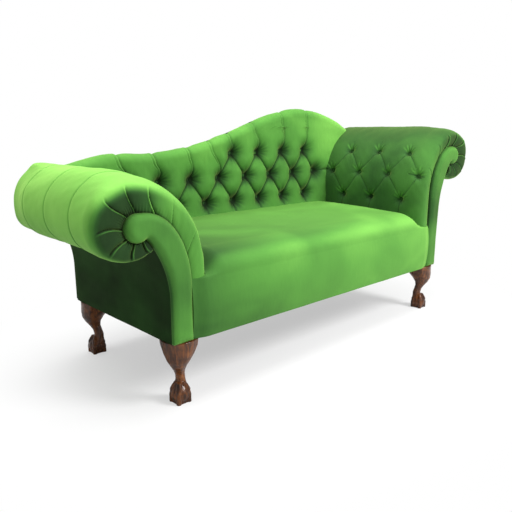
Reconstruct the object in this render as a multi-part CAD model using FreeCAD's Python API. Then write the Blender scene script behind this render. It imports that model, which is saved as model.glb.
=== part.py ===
import FreeCAD, Part
import math
import os
from FreeCAD import Vector

# Double-ended fainting couch: a beech frame on four carved cabriole legs, two scroll arms of
# unequal height, a serpentine back, deep-buttoned pads and a sprung seat.
# Millimetres. X runs along the couch with the low arm at -X, the sitter faces -Y, +Z is up,
# and the origin is on the floor under the middle of the whole couch.

# Driving dimensions: the upholstered base
base_length = 1458.0
base_depth = 633.0
leg_height = 206.0
seat_bulge = 14.0
rail_height = 95.0
timber = 25.0
cover = 4.0
facing_thickness = 12.0
back_cover = 5.0

# Driving dimensions: the scroll arms, measured outboard from the end of the base
facing_width = 72.0
eye_out = 99.0
eye_height = 565.0
eye_radius = 40.0
curl_out = 80.0
curl_height = 225.0
flare_start = 340.0
head_rise = 137.0
roll_out = 120.0
roll_radius = 115.0
low_roll_height = 600.0
high_roll_height = 717.0
pad_inner = 140.0
low_arm_straight = 440.0
high_arm_straight = 545.0

# Driving dimensions: seat, back and buttons
seat_crown = 460.0
front_edge_height = 402.0
back_face_inset = 85.5
back_cap = 24.0
crest_depth = 64.0
crest_half_span = 720.0
button_radius = 11.0
button_thickness = 8.0
tuft_radius = 34.0
tuft_depth = 28.0
back_pitch = 151.5
back_row_pitch = 103.0
back_low_row = 518.0
back_first_column = 145.0
arm_pitch = 162.0
arm_rows_below_top = [109.0, 208.0, 321.0]

# Driving dimensions: legs
leg_inset = 45.0
leg_sides = 16
leg_slices = 16
claw_height = 52.0

# Driving dimensions: small parts inside
dowel_radius = 5.0
dowel_length = 45.0
dowel_play = 0.3
bolt_radius = 4.0
bolt_length = 70.0
cross_rail_place = 240.0
cross_rail_width = 40.0
cross_rail_height = 50.0
post_width = 50.0
upright_place = 215.0
upright_foot = 380.0
tack_low = 330.0
tack_high = 380.0
arm_tack_thickness = 22.0
roll_rail_radius = 30.0

# Derived planes
half_length = base_length / 2
front_y = -(base_depth + seat_bulge) / 2 + seat_bulge
rear_y = (base_depth + seat_bulge) / 2
rail_top = leg_height + rail_height
board_front = front_y + facing_thickness
frame_front = board_front + timber
back_plane = rear_y - back_cover
frame_rear = back_plane - timber
hessian = 1.5
webbing = 2.0
gap = 1.0
back_face = rear_y - back_face_inset
back_pad_rear = frame_rear - 2 * webbing
arm_pad_rear = frame_rear - webbing
board_inset = cover + 0.9
lining_outer = 3.0
lining_inner = 4.5
pad_lining = 2.6
eye_stop = -125.0
seat_foot = rail_top + hessian
board_inner_x = half_length - facing_width + board_inset
low, high = -1, 1


def box(x0, x1, y0, y1, z0, z1):
    return Part.makeBox(x1 - x0, y1 - y0, z1 - z0, Vector(x0, y0, z0))


def line(a, b):
    return Part.makeLine(Vector(a[0], a[1], 0), Vector(b[0], b[1], 0))


def arc(centre, radius, start, end):
    # Circular arc between two angles in degrees, through their middle angle
    points = []
    for angle in (start, (start + end) / 2, end):
        turn = math.radians(angle)
        points.append(Vector(centre[0] + radius * math.cos(turn), centre[1] + radius * math.sin(turn), 0))
    return Part.Arc(*points).toShape()


def quarter_ellipse(centre, half_width, half_height):
    # From the leftmost point of the ellipse to its top
    top = Vector(centre[0], centre[1] + half_height, 0)
    left = Vector(centre[0] - half_width, centre[1], 0)
    middle = Vector(centre[0], centre[1], 0)
    if half_height >= half_width:
        ellipse = Part.Ellipse(top, left, middle)
        return Part.ArcOfEllipse(ellipse, 0, math.pi / 2).toShape()
    ellipse = Part.Ellipse(left, top, middle)
    return Part.ArcOfEllipse(ellipse, 0, math.pi / 2).toShape()


def upright_wire(edges, y, side):
    # A profile drawn flat as (x, z) is stood up in the plane at y, and mirrored for the low end
    wire = Part.Wire(Part.__sortEdges__(edges))
    wire.rotate(Vector(0, 0, 0), Vector(1, 0, 0), 90)
    wire.translate(Vector(half_length, y, 0))
    if side < 0:
        wire = wire.mirror(Vector(0, 0, 0), Vector(1, 0, 0))
    return wire


def prism(edges, y0, y1, side):
    wire = upright_wire(edges, y0, side)
    return Part.Face(wire).extrude(Vector(0, y1 - y0, 0))


def flat_face(points):
    return Part.Face(Part.makePolygon(points + points[:1]))


def facet_solid(rings):
    # Closed solid of flat facets between rings that have the same number of points
    faces = [flat_face(rings[0]), flat_face(rings[-1])]
    for below, above in zip(rings, rings[1:]):
        for index in range(len(below)):
            faces.append(flat_face([below[index - 1], below[index], above[index]]))
            faces.append(flat_face([below[index - 1], above[index], above[index - 1]]))
    solid = Part.makeSolid(Part.makeShell(faces))
    if solid.Volume < 0:
        solid.reverse()
    return solid


def chord_points(pieces):
    # Points along (edge, chords) pairs that follow one another, each edge run the right way round
    points = []
    for edge, chords in pieces:
        steps = edge.discretize(chords + 1)
        if points and (steps[0] - points[-1]).Length > (steps[-1] - points[-1]).Length:
            steps.reverse()
        if points and (steps[0] - points[-1]).Length < 0.01:
            steps = steps[1:]
        points += steps
    return points


def upright_points(points, y, side):
    return [Vector(side * (half_length + point.x), y, point.y) for point in points]


def eight_sided(sections, place, direction):
    # Small round piece that repeats, drawn with eight sides through (height, radius) sections
    turn = FreeCAD.Rotation(Vector(0, 0, 1), direction)
    rings = []
    for height, radius in sections:
        ring = []
        for side in range(8):
            angle = math.pi * (side + 0.5) / 4
            corner = Vector(radius * math.cos(angle), radius * math.sin(angle), height)
            ring.append(place + turn.multVec(corner))
        rings.append(ring)
    return facet_solid(rings).removeSplitter()


def save(name, shape):
    shape.exportStep("parts/" + name + ".step")


# Scroll arms: one scroll outline serves the frame boards, the lining and the facings
def arm_rise(side):
    return head_rise if side == high else 0.0


def scroll_edges(side, inset):
    rise = arm_rise(side)
    eye_z = eye_height + rise
    start_z = eye_height + eye_radius - curl_height + rise
    radius = eye_radius - inset
    notch_angle = -130.0
    notch_out = eye_out + radius * math.cos(math.radians(notch_angle))
    notch_z = eye_z + radius * math.sin(math.radians(notch_angle))
    flare_z = flare_start + rise
    flare = ((notch_out + inset) ** 2 + (notch_z - flare_z) ** 2) / (2 * (notch_out + inset))
    swing = math.degrees(math.asin((notch_z - flare_z) / flare))
    inner = inset - facing_width
    return [
        line((inner, leg_height), (inner, start_z)),
        quarter_ellipse((curl_out, start_z), curl_out - inner, curl_height - inset),
        line((curl_out, eye_z + radius), (eye_out, eye_z + radius)),
        arc((eye_out, eye_z), radius, 90, notch_angle),
        arc((flare - inset, flare_z), flare, 180 - swing, 180),
        line((-inset, flare_z), (-inset, leg_height)),
        line((-inset, leg_height), (inner, leg_height)),
    ]


def lining_edges(side, inset, end_angle):
    # The open stretch of the scroll outline that carries the padding, from seat to eye
    rise = arm_rise(side)
    eye_z = eye_height + rise
    start_z = eye_height + eye_radius - curl_height + rise
    radius = eye_radius - inset
    inner = inset - facing_width
    return [
        line((inner, seat_foot), (inner, start_z)),
        quarter_ellipse((curl_out, start_z), curl_out - inner, curl_height - inset),
        line((curl_out, eye_z + radius), (eye_out, eye_z + radius)),
        arc((eye_out, eye_z), radius, 90, end_angle),
    ]


def on_circle(centre, radius, angle):
    turn = math.radians(angle)
    return (centre[0] + radius * math.cos(turn), centre[1] + radius * math.sin(turn))


lining_chords = [1, 8, 1, 10]


def make_lining(side):
    outer = chord_points(zip(lining_edges(side, lining_outer, eye_stop), lining_chords))
    inner = chord_points(zip(lining_edges(side, lining_inner, eye_stop), lining_chords))
    section = upright_points(outer + inner[::-1], frame_front, side)
    return flat_face(section).extrude(Vector(0, frame_rear - frame_front, 0))


def roll_profile(side, shrink, lean):
    # Outside of the stuffed arm: up the inner face, over the roll and under it to the notch
    roll_z = high_roll_height if side == high else low_roll_height
    straight = high_arm_straight if side == high else low_arm_straight
    radius = roll_radius - shrink
    inner = shrink - pad_inner
    centre = (roll_out - lean, roll_z)
    return [
        line((inner, seat_foot), (inner, straight)),
        quarter_ellipse((centre[0], straight), centre[0] - inner, roll_z + radius - straight),
        arc(centre, radius, 90, eye_stop),
    ]


roll_chords = [1, 7, 14]


def arm_pad_section(side, y, shrink, lean):
    outer = chord_points(zip(roll_profile(side, shrink, lean), roll_chords))
    inner = chord_points(zip(lining_edges(side, pad_lining, eye_stop), lining_chords))
    return upright_points(outer + inner[::-1], y, side)


def arm_button_places(side):
    # Rows measured down from the top of the roll; odd rows hold one button more
    roll_z = high_roll_height if side == high else low_roll_height
    straight = high_arm_straight if side == high else low_arm_straight
    top = roll_z + roll_radius
    half_width = roll_out + pad_inner
    middle = (board_front + back_face) / 2
    places = []
    for row, drop in enumerate(arm_rows_below_top):
        z = top - drop
        if z < seat_crown + tuft_radius:
            continue
        count = 4 if row % 2 else 3
        lift = max(0.0, (z - straight) / (top - straight))
        out = roll_out - half_width * math.sqrt(1 - lift ** 2)
        normal = Vector(-(roll_out - out) / half_width ** 2, 0, max(0.0, z - straight) / (top - straight) ** 2)
        if side == low:
            normal.x = -normal.x
        normal.normalize()
        for index in range(count):
            y = middle + (index - (count - 1) / 2) * arm_pitch
            places.append((Vector(side * (half_length + out), y, z), normal))
    return places


def back_button_places():
    # Three rows of a diamond lattice; the short top row sits under the high part of the crest
    rows = [range(-4, 3), range(-5, 3), range(-1, 3)]
    places = []
    for row, columns in enumerate(rows):
        shift = back_pitch / 2 if row % 2 else 0.0
        z = back_low_row + row * back_row_pitch - (row // 2) * 2
        for column in columns:
            x = back_first_column + column * back_pitch + shift
            places.append((Vector(x, back_face, z), Vector(0, -1, 0)))
    return places


def tuft_recess(place, normal):
    wide = tuft_radius + (tuft_radius - button_radius) / tuft_depth
    return eight_sided([(-tuft_depth, button_radius + 0.3), (gap, wide)], place, normal)


def button(place, normal):
    # The domed head of a covered button, seated at the bottom of its tuft
    half = button_thickness / 2
    sections = [(0.0, button_radius), (half, button_radius), (button_thickness, button_radius * 0.6)]
    return eight_sided(sections, place - normal * tuft_depth, normal)


def make_arm_pad(side):
    # Rounded where it tucks under the facing, straight along the arm, pulled in towards the back
    stations = [
        (board_front, 26.0, 0.0),
        (board_front + 12.0, 9.0, 0.0),
        (board_front + 40.0, 0.0, 0.0),
        (110.0, 0.0, 0.0),
        (225.0, 5.0, 9.0),
        (arm_pad_rear, 14.0, 28.0),
    ]
    pad = facet_solid([arm_pad_section(side, *station) for station in stations])
    for place, normal in arm_button_places(side):
        pad = pad.cut(tuft_recess(place, normal))
    return pad


def make_facing(side):
    wires = [
        upright_wire(scroll_edges(side, 6.0), front_y, side),
        upright_wire(scroll_edges(side, 0.0), front_y + 5.0, side),
        upright_wire(scroll_edges(side, 0.0), board_front, side),
    ]
    return Part.makeLoft(wires, True, True)


def make_outside_arm(side):
    rise = arm_rise(side)
    notch = on_circle((eye_out, eye_height + rise), eye_radius, -130.0)
    flare_z = flare_start + rise
    flare = (notch[0] ** 2 + (notch[1] - flare_z) ** 2) / (2 * notch[0])
    swing = math.degrees(math.asin((notch[1] - flare_z) / flare))
    centre = (flare, flare_z)
    edges = [
        line((0, leg_height), (0, flare_z)),
        arc(centre, flare, 180, 180 - swing),
        line(on_circle(centre, flare, 180 - swing), on_circle(centre, flare + cover, 180 - swing)),
        arc(centre, flare + cover, 180 - swing, 180),
        line((-cover, flare_z), (-cover, leg_height)),
        line((-cover, leg_height), (0, leg_height)),
    ]
    return prism(edges, board_front, back_plane, side)


# Dowel joints: each entry is the joint's point on the meeting faces and the dowel's direction
def dowel_joints():
    joints = []
    low_z = leg_height + rail_height * 0.28
    high_z = leg_height + rail_height * 0.74
    for side in (low, high):
        for z in (low_z, high_z):
            joints.append((Vector(side * board_inner_x, board_front + timber / 2, z), Vector(side, 0, 0)))
            joints.append((Vector(side * board_inner_x, frame_rear + timber / 2, z), Vector(side, 0, 0)))
            rail_x = side * (half_length - cover - timber / 2)
            joints.append((Vector(rail_x, frame_front, z), Vector(0, -1, 0)))
            joints.append((Vector(rail_x, frame_rear, z), Vector(0, 1, 0)))
    return joints


# The shallow end of each dowel goes into the board, the deep end into the rail
dowel_in_board = 18.0


def make_dowels():
    dowels = []
    for point, direction in dowel_joints():
        start = point - direction * (dowel_length - dowel_in_board)
        dowels.append(eight_sided([(0, dowel_radius), (dowel_length, dowel_radius)], start, direction))
    return dowels


def dowel_holes():
    holes = []
    for point, direction in dowel_joints():
        start = point - direction * (dowel_length - dowel_in_board)
        bore = dowel_radius + dowel_play
        holes.append(eight_sided([(0, bore), (dowel_length, bore)], start, direction))
    return Part.makeCompound(holes)


# Serpentine crest: low over the foot end, high over the head end
crest_points = [
    (-600, 735), (-420, 734), (-226, 756), (-9, 812), (201, 880), (400, 915), (590, 893), (700, 858),
]
crest_low_end = 703.0
crest_high_end = 823.0
crest_chords = 28


def arm_profile_x(side, z):
    # Inner surface of the stuffed arm at height z, one clearance away from it
    roll_z = high_roll_height if side == high else low_roll_height
    straight = high_arm_straight if side == high else low_arm_straight
    lift = (z - straight) / (roll_z + roll_radius + gap - straight)
    out = roll_out - (roll_out + pad_inner + gap) * math.sqrt(1 - lift ** 2)
    return side * (half_length + out)


def crest_line(drop, follow_arms=True):
    # The pad's two ends follow the inner surface of the arms, so that the back always meets
    # them; the frame behind it keeps the ends where they are. From low end to high end.
    settle = drop if follow_arms else 0.0
    points = [Vector(arm_profile_x(low, crest_low_end - settle), crest_low_end - drop, 0)]
    for x, z in crest_points:
        points.append(Vector(x, z - drop, 0))
    points.append(Vector(arm_profile_x(high, crest_high_end - settle), crest_high_end - drop, 0))
    curve = Part.BSplineCurve()
    curve.interpolate(points)
    return curve.discretize(crest_chords + 1)


def arm_side_points(side, drop):
    # Up the arm's inner profile, from the seat to the crest
    roll_z = high_roll_height if side == high else low_roll_height
    straight = high_arm_straight if side == high else low_arm_straight
    end_z = (crest_high_end if side == high else crest_low_end) - drop
    height = roll_z + roll_radius + gap - straight
    points = [Vector(arm_profile_x(side, straight), seat_foot, 0)]
    for step in range(3):
        z = straight + height * math.sin(math.asin((end_z - straight) / height) * step / 3)
        points.append(Vector(arm_profile_x(side, z), z, 0))
    return points


def back_section(y, drop):
    # Up the high arm's side, along the crest and down the low arm's side
    points = arm_side_points(high, drop) + crest_line(drop)[::-1] + arm_side_points(low, drop)[::-1]
    return [Vector(point.x, y, point.y) for point in points]


def under_crest(drop, x0, x1, z0, y0, y1):
    # Slab of the back's plane that lies below the crest line lowered by drop
    crest = crest_line(drop, False)
    floor = leg_height - 10.0
    corners = [Vector(crest[-1].x, floor, 0), Vector(crest[0].x, floor, 0)]
    outline = [Vector(point.x, y0, point.y) for point in crest + corners]
    slab = flat_face(outline).extrude(Vector(0, y1 - y0, 0))
    return slab.common(box(x0, x1, y0, y1, z0, 1000.0))


def make_crest_rail():
    span = (-crest_half_span, crest_half_span, leg_height, frame_rear, back_plane)
    return under_crest(back_cap, *span).cut(under_crest(back_cap + crest_depth, *span))


def make_back_upright(x0, width, foot):
    return under_crest(back_cap + crest_depth, x0, x0 + width, foot, frame_rear, back_plane)


def make_back_pad():
    stations = [(back_face, 30.0), (back_face + 9.0, 11.0), (back_face + 28.0, 0.0), (back_plane, 0.0)]
    pad = facet_solid([back_section(y, drop) for y, drop in stations])
    pad = pad.cut(under_crest(back_cap - 0.4, -half_length - 200, half_length + 200, leg_height,
                              back_pad_rear, rear_y + 10))
    for place, normal in back_button_places():
        pad = pad.cut(tuft_recess(place, normal))
    return pad


def make_outside_back():
    low_end = arm_profile_x(low, crest_low_end)
    high_end = arm_profile_x(high, crest_high_end)
    panel = under_crest(0.0, -half_length, half_length, leg_height, back_plane, rear_y)
    panel = panel.fuse(under_crest(0.0, low_end, -half_length, eye_height, back_plane, rear_y))
    panel = panel.fuse(under_crest(0.0, half_length, high_end, eye_height + head_rise, back_plane, rear_y))
    for side in (low, high):
        panel = panel.fuse(prism(scroll_edges(side, 0.0), back_plane, rear_y, side))
    return panel.removeSplitter()


# Seat pad: a bull-nosed block between the arms with a thin front border between the facings
def make_seat_pad():
    nose_y = front_y - seat_bulge
    crown_rise = 6.0
    edges = [
        Part.makeLine(Vector(0, board_front, leg_height), Vector(0, front_y - 6, leg_height)),
        Part.Arc(Vector(0, front_y - 6, leg_height), Vector(0, nose_y, 320),
                 Vector(0, front_y - 9, front_edge_height)).toShape(),
        Part.Arc(Vector(0, front_y - 9, front_edge_height), Vector(0, front_y + 32, 441),
                 Vector(0, front_y + 120, seat_crown - 3)).toShape(),
        Part.Arc(Vector(0, front_y + 120, seat_crown - 3), Vector(0, 30, seat_crown + crown_rise),
                 Vector(0, back_face - gap, seat_crown)).toShape(),
        Part.makeLine(Vector(0, back_face - gap, seat_crown), Vector(0, back_face - gap, seat_foot)),
        Part.makeLine(Vector(0, back_face - gap, seat_foot), Vector(0, board_front, seat_foot)),
        Part.makeLine(Vector(0, board_front, seat_foot), Vector(0, board_front, leg_height)),
    ]
    half_seat = half_length - pad_inner - gap
    half_border = half_length - facing_width - gap
    face = Part.Face(Part.Wire(Part.__sortEdges__(edges)))
    pad = face.extrude(Vector(2 * half_border, 0, 0))
    pad.translate(Vector(-half_border, 0, 0))
    for side in (low, high):
        inner, outer = sorted((side * half_seat, side * (half_border + 5)))
        pad = pad.cut(box(inner, outer, board_front - 0.3, rear_y, leg_height, 600))
        pad = pad.cut(box(inner, outer, front_y - 60, rear_y, front_edge_height, 600))
    return pad


# Seat suspension: zigzag springs held in clips between the front and rear rails
spring_count = 8
spring_wire = 4.0
spring_width = 46.0
spring_bends = 11
clip_length = 22.0
spring_top = rail_top - 1.0


def spring_xs():
    reach = board_inner_x - 90.0
    return [-reach + 2 * reach * index / (spring_count - 1) for index in range(spring_count)]


def make_spring(x):
    # The end bars lie along the rails; the wire between them is one flat zigzag
    start = frame_front + 7.0
    step = (frame_rear - 7.0 - start) / (spring_bends + 1)
    half = spring_width / 2
    thick = spring_wire * 0.7
    left, right = [], []
    for bend in range(spring_bends + 2):
        side = 1 if bend % 2 else -1
        y = start + bend * step
        left.append(Vector(x + side * half - thick, y, spring_top - spring_wire))
        right.append(Vector(x + side * half + thick, y, spring_top - spring_wire))
    outline = right + left[::-1] + [right[0]]
    spring = Part.Face(Part.makePolygon(outline)).extrude(Vector(0, 0, spring_wire))
    for y in (start, start + (spring_bends + 1) * step):
        spring = spring.fuse(box(x - half - thick, x + half, y - spring_wire / 2, y + spring_wire / 2,
                                 spring_top - spring_wire, spring_top))
    return spring.removeSplitter()


def make_clip(x, rail_y, inward):
    # Folded steel strip: a back against the rail and two lips round the spring's end bar
    depth = 12.0
    sheet = 1.2
    room = spring_wire + 0.6
    bottom = spring_top - spring_wire - 0.3 - sheet
    top = bottom + room + 2 * sheet
    y0, y1 = sorted((rail_y, rail_y + inward * depth))
    body = box(x - clip_length / 2, x + clip_length / 2, y0, y1, bottom, min(top, rail_top))
    h0, h1 = sorted((rail_y + inward * sheet, rail_y + inward * (depth + 1)))
    hollow = box(x - clip_length, x + clip_length, h0, h1, bottom + sheet, bottom + sheet + room)
    return body.cut(hollow)


# Cabriole leg: sections across the diagonal from knee to foot.
# Each station is height, offset of the section along the outward diagonal, half width along
# that diagonal, and half width across it.
leg_stations = [
    (0.0, 0.0, 31.0, 30.0),
    (14.0, 0.0, 35.5, 33.0),
    (30.0, -1.0, 31.0, 28.5),
    (46.0, -8.0, 22.0, 20.0),
    (64.0, -11.5, 17.5, 15.5),
    (88.0, -5.0, 17.0, 15.5),
    (106.0, 3.0, 21.5, 20.0),
    (130.0, 7.5, 33.0, 31.0),
    (156.0, -2.0, 44.0, 43.0),
    (180.0, -8.0, 50.0, 50.0),
    (leg_height, -9.0, 52.0, 54.0),
]


def leg_size(z):
    # Smooth cubic blend between the stations on either side of z
    for index in range(len(leg_stations) - 1):
        if z <= leg_stations[index + 1][0]:
            break
    before = leg_stations[max(index - 1, 0)]
    start = leg_stations[index]
    end = leg_stations[index + 1]
    after = leg_stations[min(index + 2, len(leg_stations) - 1)]
    span = end[0] - start[0]
    t = (z - start[0]) / span
    size = []
    for item in (1, 2, 3):
        slope0 = (end[item] - before[item]) / (end[0] - before[0]) * span
        slope1 = (after[item] - start[item]) / (after[0] - start[0]) * span
        value = (2 * t ** 3 - 3 * t ** 2 + 1) * start[item] + (t ** 3 - 2 * t ** 2 + t) * slope0
        value += (3 * t ** 2 - 2 * t ** 3) * end[item] + (t ** 3 - t ** 2) * slope1
        size.append(value)
    return size


def leg_section(z):
    # Rounded square with its corner on the outward diagonal; low down four talons stand
    # proud of the ball between them
    offset, along, across = leg_size(z)
    squareness = min(1.0, max(0.0, (z - 95.0) / 70.0))
    power = 2.0 - 0.75 * squareness
    claw = max(0.0, min(1.0, (claw_height - z) / 20.0))
    points = []
    for side in range(leg_sides):
        turn = 2 * math.pi * side / leg_sides
        c, s = math.cos(turn), math.sin(turn)
        radius = (abs(c) ** power + abs(s) ** power) ** (-1 / power)
        talon = max(0.0, math.cos(4 * turn)) ** 2
        radius *= 1 - 0.16 * claw * (1 - talon)
        points.append(Vector(offset + along * radius * c, across * radius * s, z))
    return points


def make_leg(side_x, side_y):
    # Flat facets from section to section, as a carver leaves them before the last smoothing
    leg = facet_solid([leg_section(leg_height * index / leg_slices) for index in range(leg_slices + 1)])
    leg.rotate(Vector(0, 0, 0), Vector(0, 0, 1), math.degrees(math.atan2(side_y, side_x)))
    leg.translate(leg_place(side_x, side_y))
    return leg.cut(bolt(side_x, side_y, bolt_radius + dowel_play))


def leg_place(side_x, side_y):
    y = front_y + leg_inset if side_y < 0 else rear_y - leg_inset
    return Vector(side_x * (half_length - leg_inset), y, 0)


def bolt(side_x, side_y, radius):
    # Half of the bolt is in the leg and half in the corner block
    start = leg_place(side_x, side_y) + Vector(0, 0, leg_height - bolt_length / 2)
    return eight_sided([(0, radius), (bolt_length, radius)], start, Vector(0, 0, 1))


corners = {"front_left": (-1, -1), "front_right": (1, -1), "rear_left": (-1, 1), "rear_right": (1, 1)}
block_leg = 80.0
block_height = 45.0


def make_corner_block(side_x, side_y):
    # A stout triangle in the corner of the rails that takes the leg's bolt
    x = side_x * (half_length - cover - timber)
    y = frame_front if side_y < 0 else frame_rear
    cut_back = 18.0
    points = [
        Vector(x, y, leg_height),
        Vector(x - side_x * block_leg, y, leg_height),
        Vector(x - side_x * block_leg, y - side_y * cut_back, leg_height),
        Vector(x - side_x * cut_back, y - side_y * block_leg, leg_height),
        Vector(x, y - side_y * block_leg, leg_height),
    ]
    block = flat_face(points).extrude(Vector(0, 0, block_height))
    return block.cut(bolt(side_x, side_y, bolt_radius + dowel_play))


def make_dust_cover():
    # Cloth under the seat, turned in a little at the edges and cut away round each leg
    sheet = 1.0
    end_inset = 12.0
    edge_inset = 4.0
    leg_half = 46.0
    leg_shift = 6.4
    cloth = box(-half_length + end_inset, half_length - end_inset, board_front + edge_inset,
                back_plane - edge_inset, leg_height - sheet, leg_height)
    for side_x, side_y in corners.values():
        middle = leg_place(side_x, side_y) - Vector(side_x, side_y, 0) * leg_shift
        cloth = cloth.cut(box(middle.x - leg_half, middle.x + leg_half, middle.y - leg_half,
                              middle.y + leg_half, leg_height - sheet - gap, leg_height + gap))
    return cloth


# Frame
holes = dowel_holes()
rail_span = board_inner_x
save("seat_rail_front", box(-rail_span, rail_span, board_front, frame_front, leg_height, rail_top).cut(holes))
save("seat_rail_rear", box(-rail_span, rail_span, frame_rear, back_plane, leg_height, rail_top).cut(holes))
for side, end_name in ((low, "left"), (high, "right")):
    outer = half_length - cover
    x0, x1 = sorted((side * outer, side * (outer - timber)))
    save("seat_rail_" + end_name, box(x0, x1, frame_front, frame_rear, leg_height, rail_top).cut(holes))
    x0 = side * cross_rail_place - cross_rail_width / 2
    save("seat_cross_rail_" + end_name, box(x0, x0 + cross_rail_width, frame_front, frame_rear,
                                            leg_height, leg_height + cross_rail_height))
    front_board = prism(scroll_edges(side, board_inset), board_front, frame_front, side)
    rear_board = prism(scroll_edges(side, board_inset), frame_rear, back_plane, side)
    save("arm_scroll_board_front_" + end_name, front_board.cut(holes))
    save("arm_scroll_board_rear_" + end_name, rear_board.cut(holes))
    eye = Vector(side * (half_length + eye_out), frame_front, eye_height + arm_rise(side))
    roll_rail = Part.makeCylinder(roll_rail_radius, frame_rear - frame_front, eye, Vector(0, 1, 0))
    save("arm_roll_rail_" + end_name, roll_rail)
    tack = half_length - facing_width + lining_inner
    x0, x1 = sorted((side * tack, side * (tack + arm_tack_thickness)))
    save("arm_tacking_rail_" + end_name, box(x0, x1, frame_front, frame_rear, tack_low, tack_high))
    save("arm_lining_" + end_name, make_lining(side))
    post_x = -rail_span if side == low else rail_span - post_width
    save("back_post_" + end_name, make_back_upright(post_x, post_width, rail_top))
    upright_x = side * upright_place - post_width / 2
    save("back_upright_" + end_name, make_back_upright(upright_x, post_width, upright_foot))
tack_span = rail_span - post_width
save("back_tacking_rail", box(-tack_span, tack_span, frame_rear, back_plane, tack_low, tack_high))
save("back_crest_rail", make_crest_rail())
save("frame_dowels", Part.makeCompound(make_dowels()))

# Legs and what holds them
bolts = []
blocks = []
for corner, (side_x, side_y) in corners.items():
    save("leg_" + corner, make_leg(side_x, side_y))
    blocks.append(make_corner_block(side_x, side_y))
    bolts.append(bolt(side_x, side_y, bolt_radius))
save("leg_bolts", Part.makeCompound(bolts))
save("leg_corner_blocks", Part.makeCompound(blocks))
save("dust_cover", make_dust_cover())

# Suspension under the seat and behind the back
save("seat_springs", Part.makeCompound([make_spring(x) for x in spring_xs()]))
clips = []
for x in spring_xs():
    clips.append(make_clip(x, frame_front, 1))
    clips.append(make_clip(x, frame_rear, -1))
save("spring_clips", Part.makeCompound(clips))
cloth_margin = 6.0
narrow = rail_span - gap
wide = half_length - cover - cloth_margin
seat_cloth = box(-narrow, narrow, board_front + cloth_margin, frame_rear, rail_top, seat_foot)
seat_cloth = seat_cloth.fuse(box(-wide, wide, frame_front, frame_rear, rail_top, seat_foot))
save("seat_hessian", seat_cloth.removeSplitter())

# Eight upright webs from the tacking rail to the crest rail, and two long ones in front of them
web_width = 50.0
web_count = 8
web_first = -520.0
web_pitch = 148.5
web_lap = 44.0
web_foot = 335.0
web_strips = []
for index in range(web_count):
    x = web_first + web_pitch * index
    strip = under_crest(web_lap, x, x + web_width, web_foot, frame_rear - webbing, frame_rear)
    web_strips.append(strip)
for z in (440.0, 560.0):
    web_strips.append(box(-tack_span - 20, tack_span + 20, frame_rear - 2 * webbing, frame_rear - webbing,
                          z, z + web_width))
save("back_webbing", Part.makeCompound(web_strips))

# Upholstery
save("seat_pad", make_seat_pad())
save("back_pad", make_back_pad())
save("outside_back_panel", make_outside_back())
save("back_buttons", Part.makeCompound([button(*place) for place in back_button_places()]))
for side, end_name in ((low, "left"), (high, "right")):
    save("arm_pad_" + end_name, make_arm_pad(side))
    save("arm_facing_" + end_name, make_facing(side))
    save("outside_arm_panel_" + end_name, make_outside_arm(side))
    save("arm_buttons_" + end_name, Part.makeCompound([button(*place) for place in arm_button_places(side)]))
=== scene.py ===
import math
import random

import bpy
import numpy as np
from mathutils import Matrix, Vector
from mathutils.geometry import delaunay_2d_cdt


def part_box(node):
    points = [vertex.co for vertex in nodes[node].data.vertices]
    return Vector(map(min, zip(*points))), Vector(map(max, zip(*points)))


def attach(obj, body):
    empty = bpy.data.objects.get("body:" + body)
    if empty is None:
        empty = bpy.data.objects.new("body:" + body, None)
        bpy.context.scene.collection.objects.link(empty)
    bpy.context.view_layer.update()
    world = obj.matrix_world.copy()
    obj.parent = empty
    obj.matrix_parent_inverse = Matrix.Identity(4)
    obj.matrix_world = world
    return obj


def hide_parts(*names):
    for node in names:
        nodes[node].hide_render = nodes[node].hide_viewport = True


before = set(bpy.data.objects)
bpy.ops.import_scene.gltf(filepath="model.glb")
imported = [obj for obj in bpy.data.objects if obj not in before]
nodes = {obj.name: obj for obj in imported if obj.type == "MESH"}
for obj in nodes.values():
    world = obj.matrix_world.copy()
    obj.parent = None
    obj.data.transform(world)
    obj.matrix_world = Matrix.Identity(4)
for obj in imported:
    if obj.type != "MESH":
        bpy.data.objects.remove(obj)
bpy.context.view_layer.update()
bpy.ops.object.select_all(action="DESELECT")


# Beech frame: rails, boards, posts and dowels of kiln-dried beech, glued and dowelled.
# Everything here is covered in the end, so it keeps its sawn and planed surface.
def linear(red, green, blue):
    # A colour as the eye reads it, 0 to 255, turned into the light values that a shader takes
    values = []
    for level in (red, green, blue):
        level = level / 255
        values.append(level / 12.92 if level <= 0.04045 else ((level + 0.055) / 1.055) ** 2.4)
    return (*values, 1.0)


def new_finish(name):
    finish = bpy.data.materials.new(name)
    finish.use_nodes = True
    tree = finish.node_tree
    return finish, tree, tree.nodes["Principled BSDF"], tree.nodes.new("ShaderNodeTexCoord").outputs["Object"]


def settle(node, **values):
    # Sets plain values on a node; an underscore in a name stands for a space
    for name, value in values.items():
        node.inputs[name.replace("_", " ")].default_value = value


def stretched(tree, place, stretch, turn=(0.0, 0.0, 0.0)):
    mapping = tree.nodes.new("ShaderNodeMapping")
    settle(mapping, Scale=stretch, Rotation=turn)
    tree.links.new(place, mapping.inputs["Vector"])
    return mapping.outputs["Vector"]


def grain(tree, place, scale, detail=4.0, roughness=0.55, distortion=0.0):
    noise = tree.nodes.new("ShaderNodeTexNoise")
    settle(noise, Scale=scale, Detail=detail, Roughness=roughness, Distortion=distortion)
    tree.links.new(place, noise.inputs["Vector"])
    return noise.outputs["Fac"]


def tones(tree, level, stops):
    ramp = tree.nodes.new("ShaderNodeValToRGB")
    elements = ramp.color_ramp.elements
    elements[0].position, elements[0].color = stops[0]
    elements[1].position, elements[1].color = stops[-1]
    for position, colour in stops[1:-1]:
        elements.new(position).color = colour
    tree.links.new(level, ramp.inputs["Fac"])
    return ramp.outputs["Color"]


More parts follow.
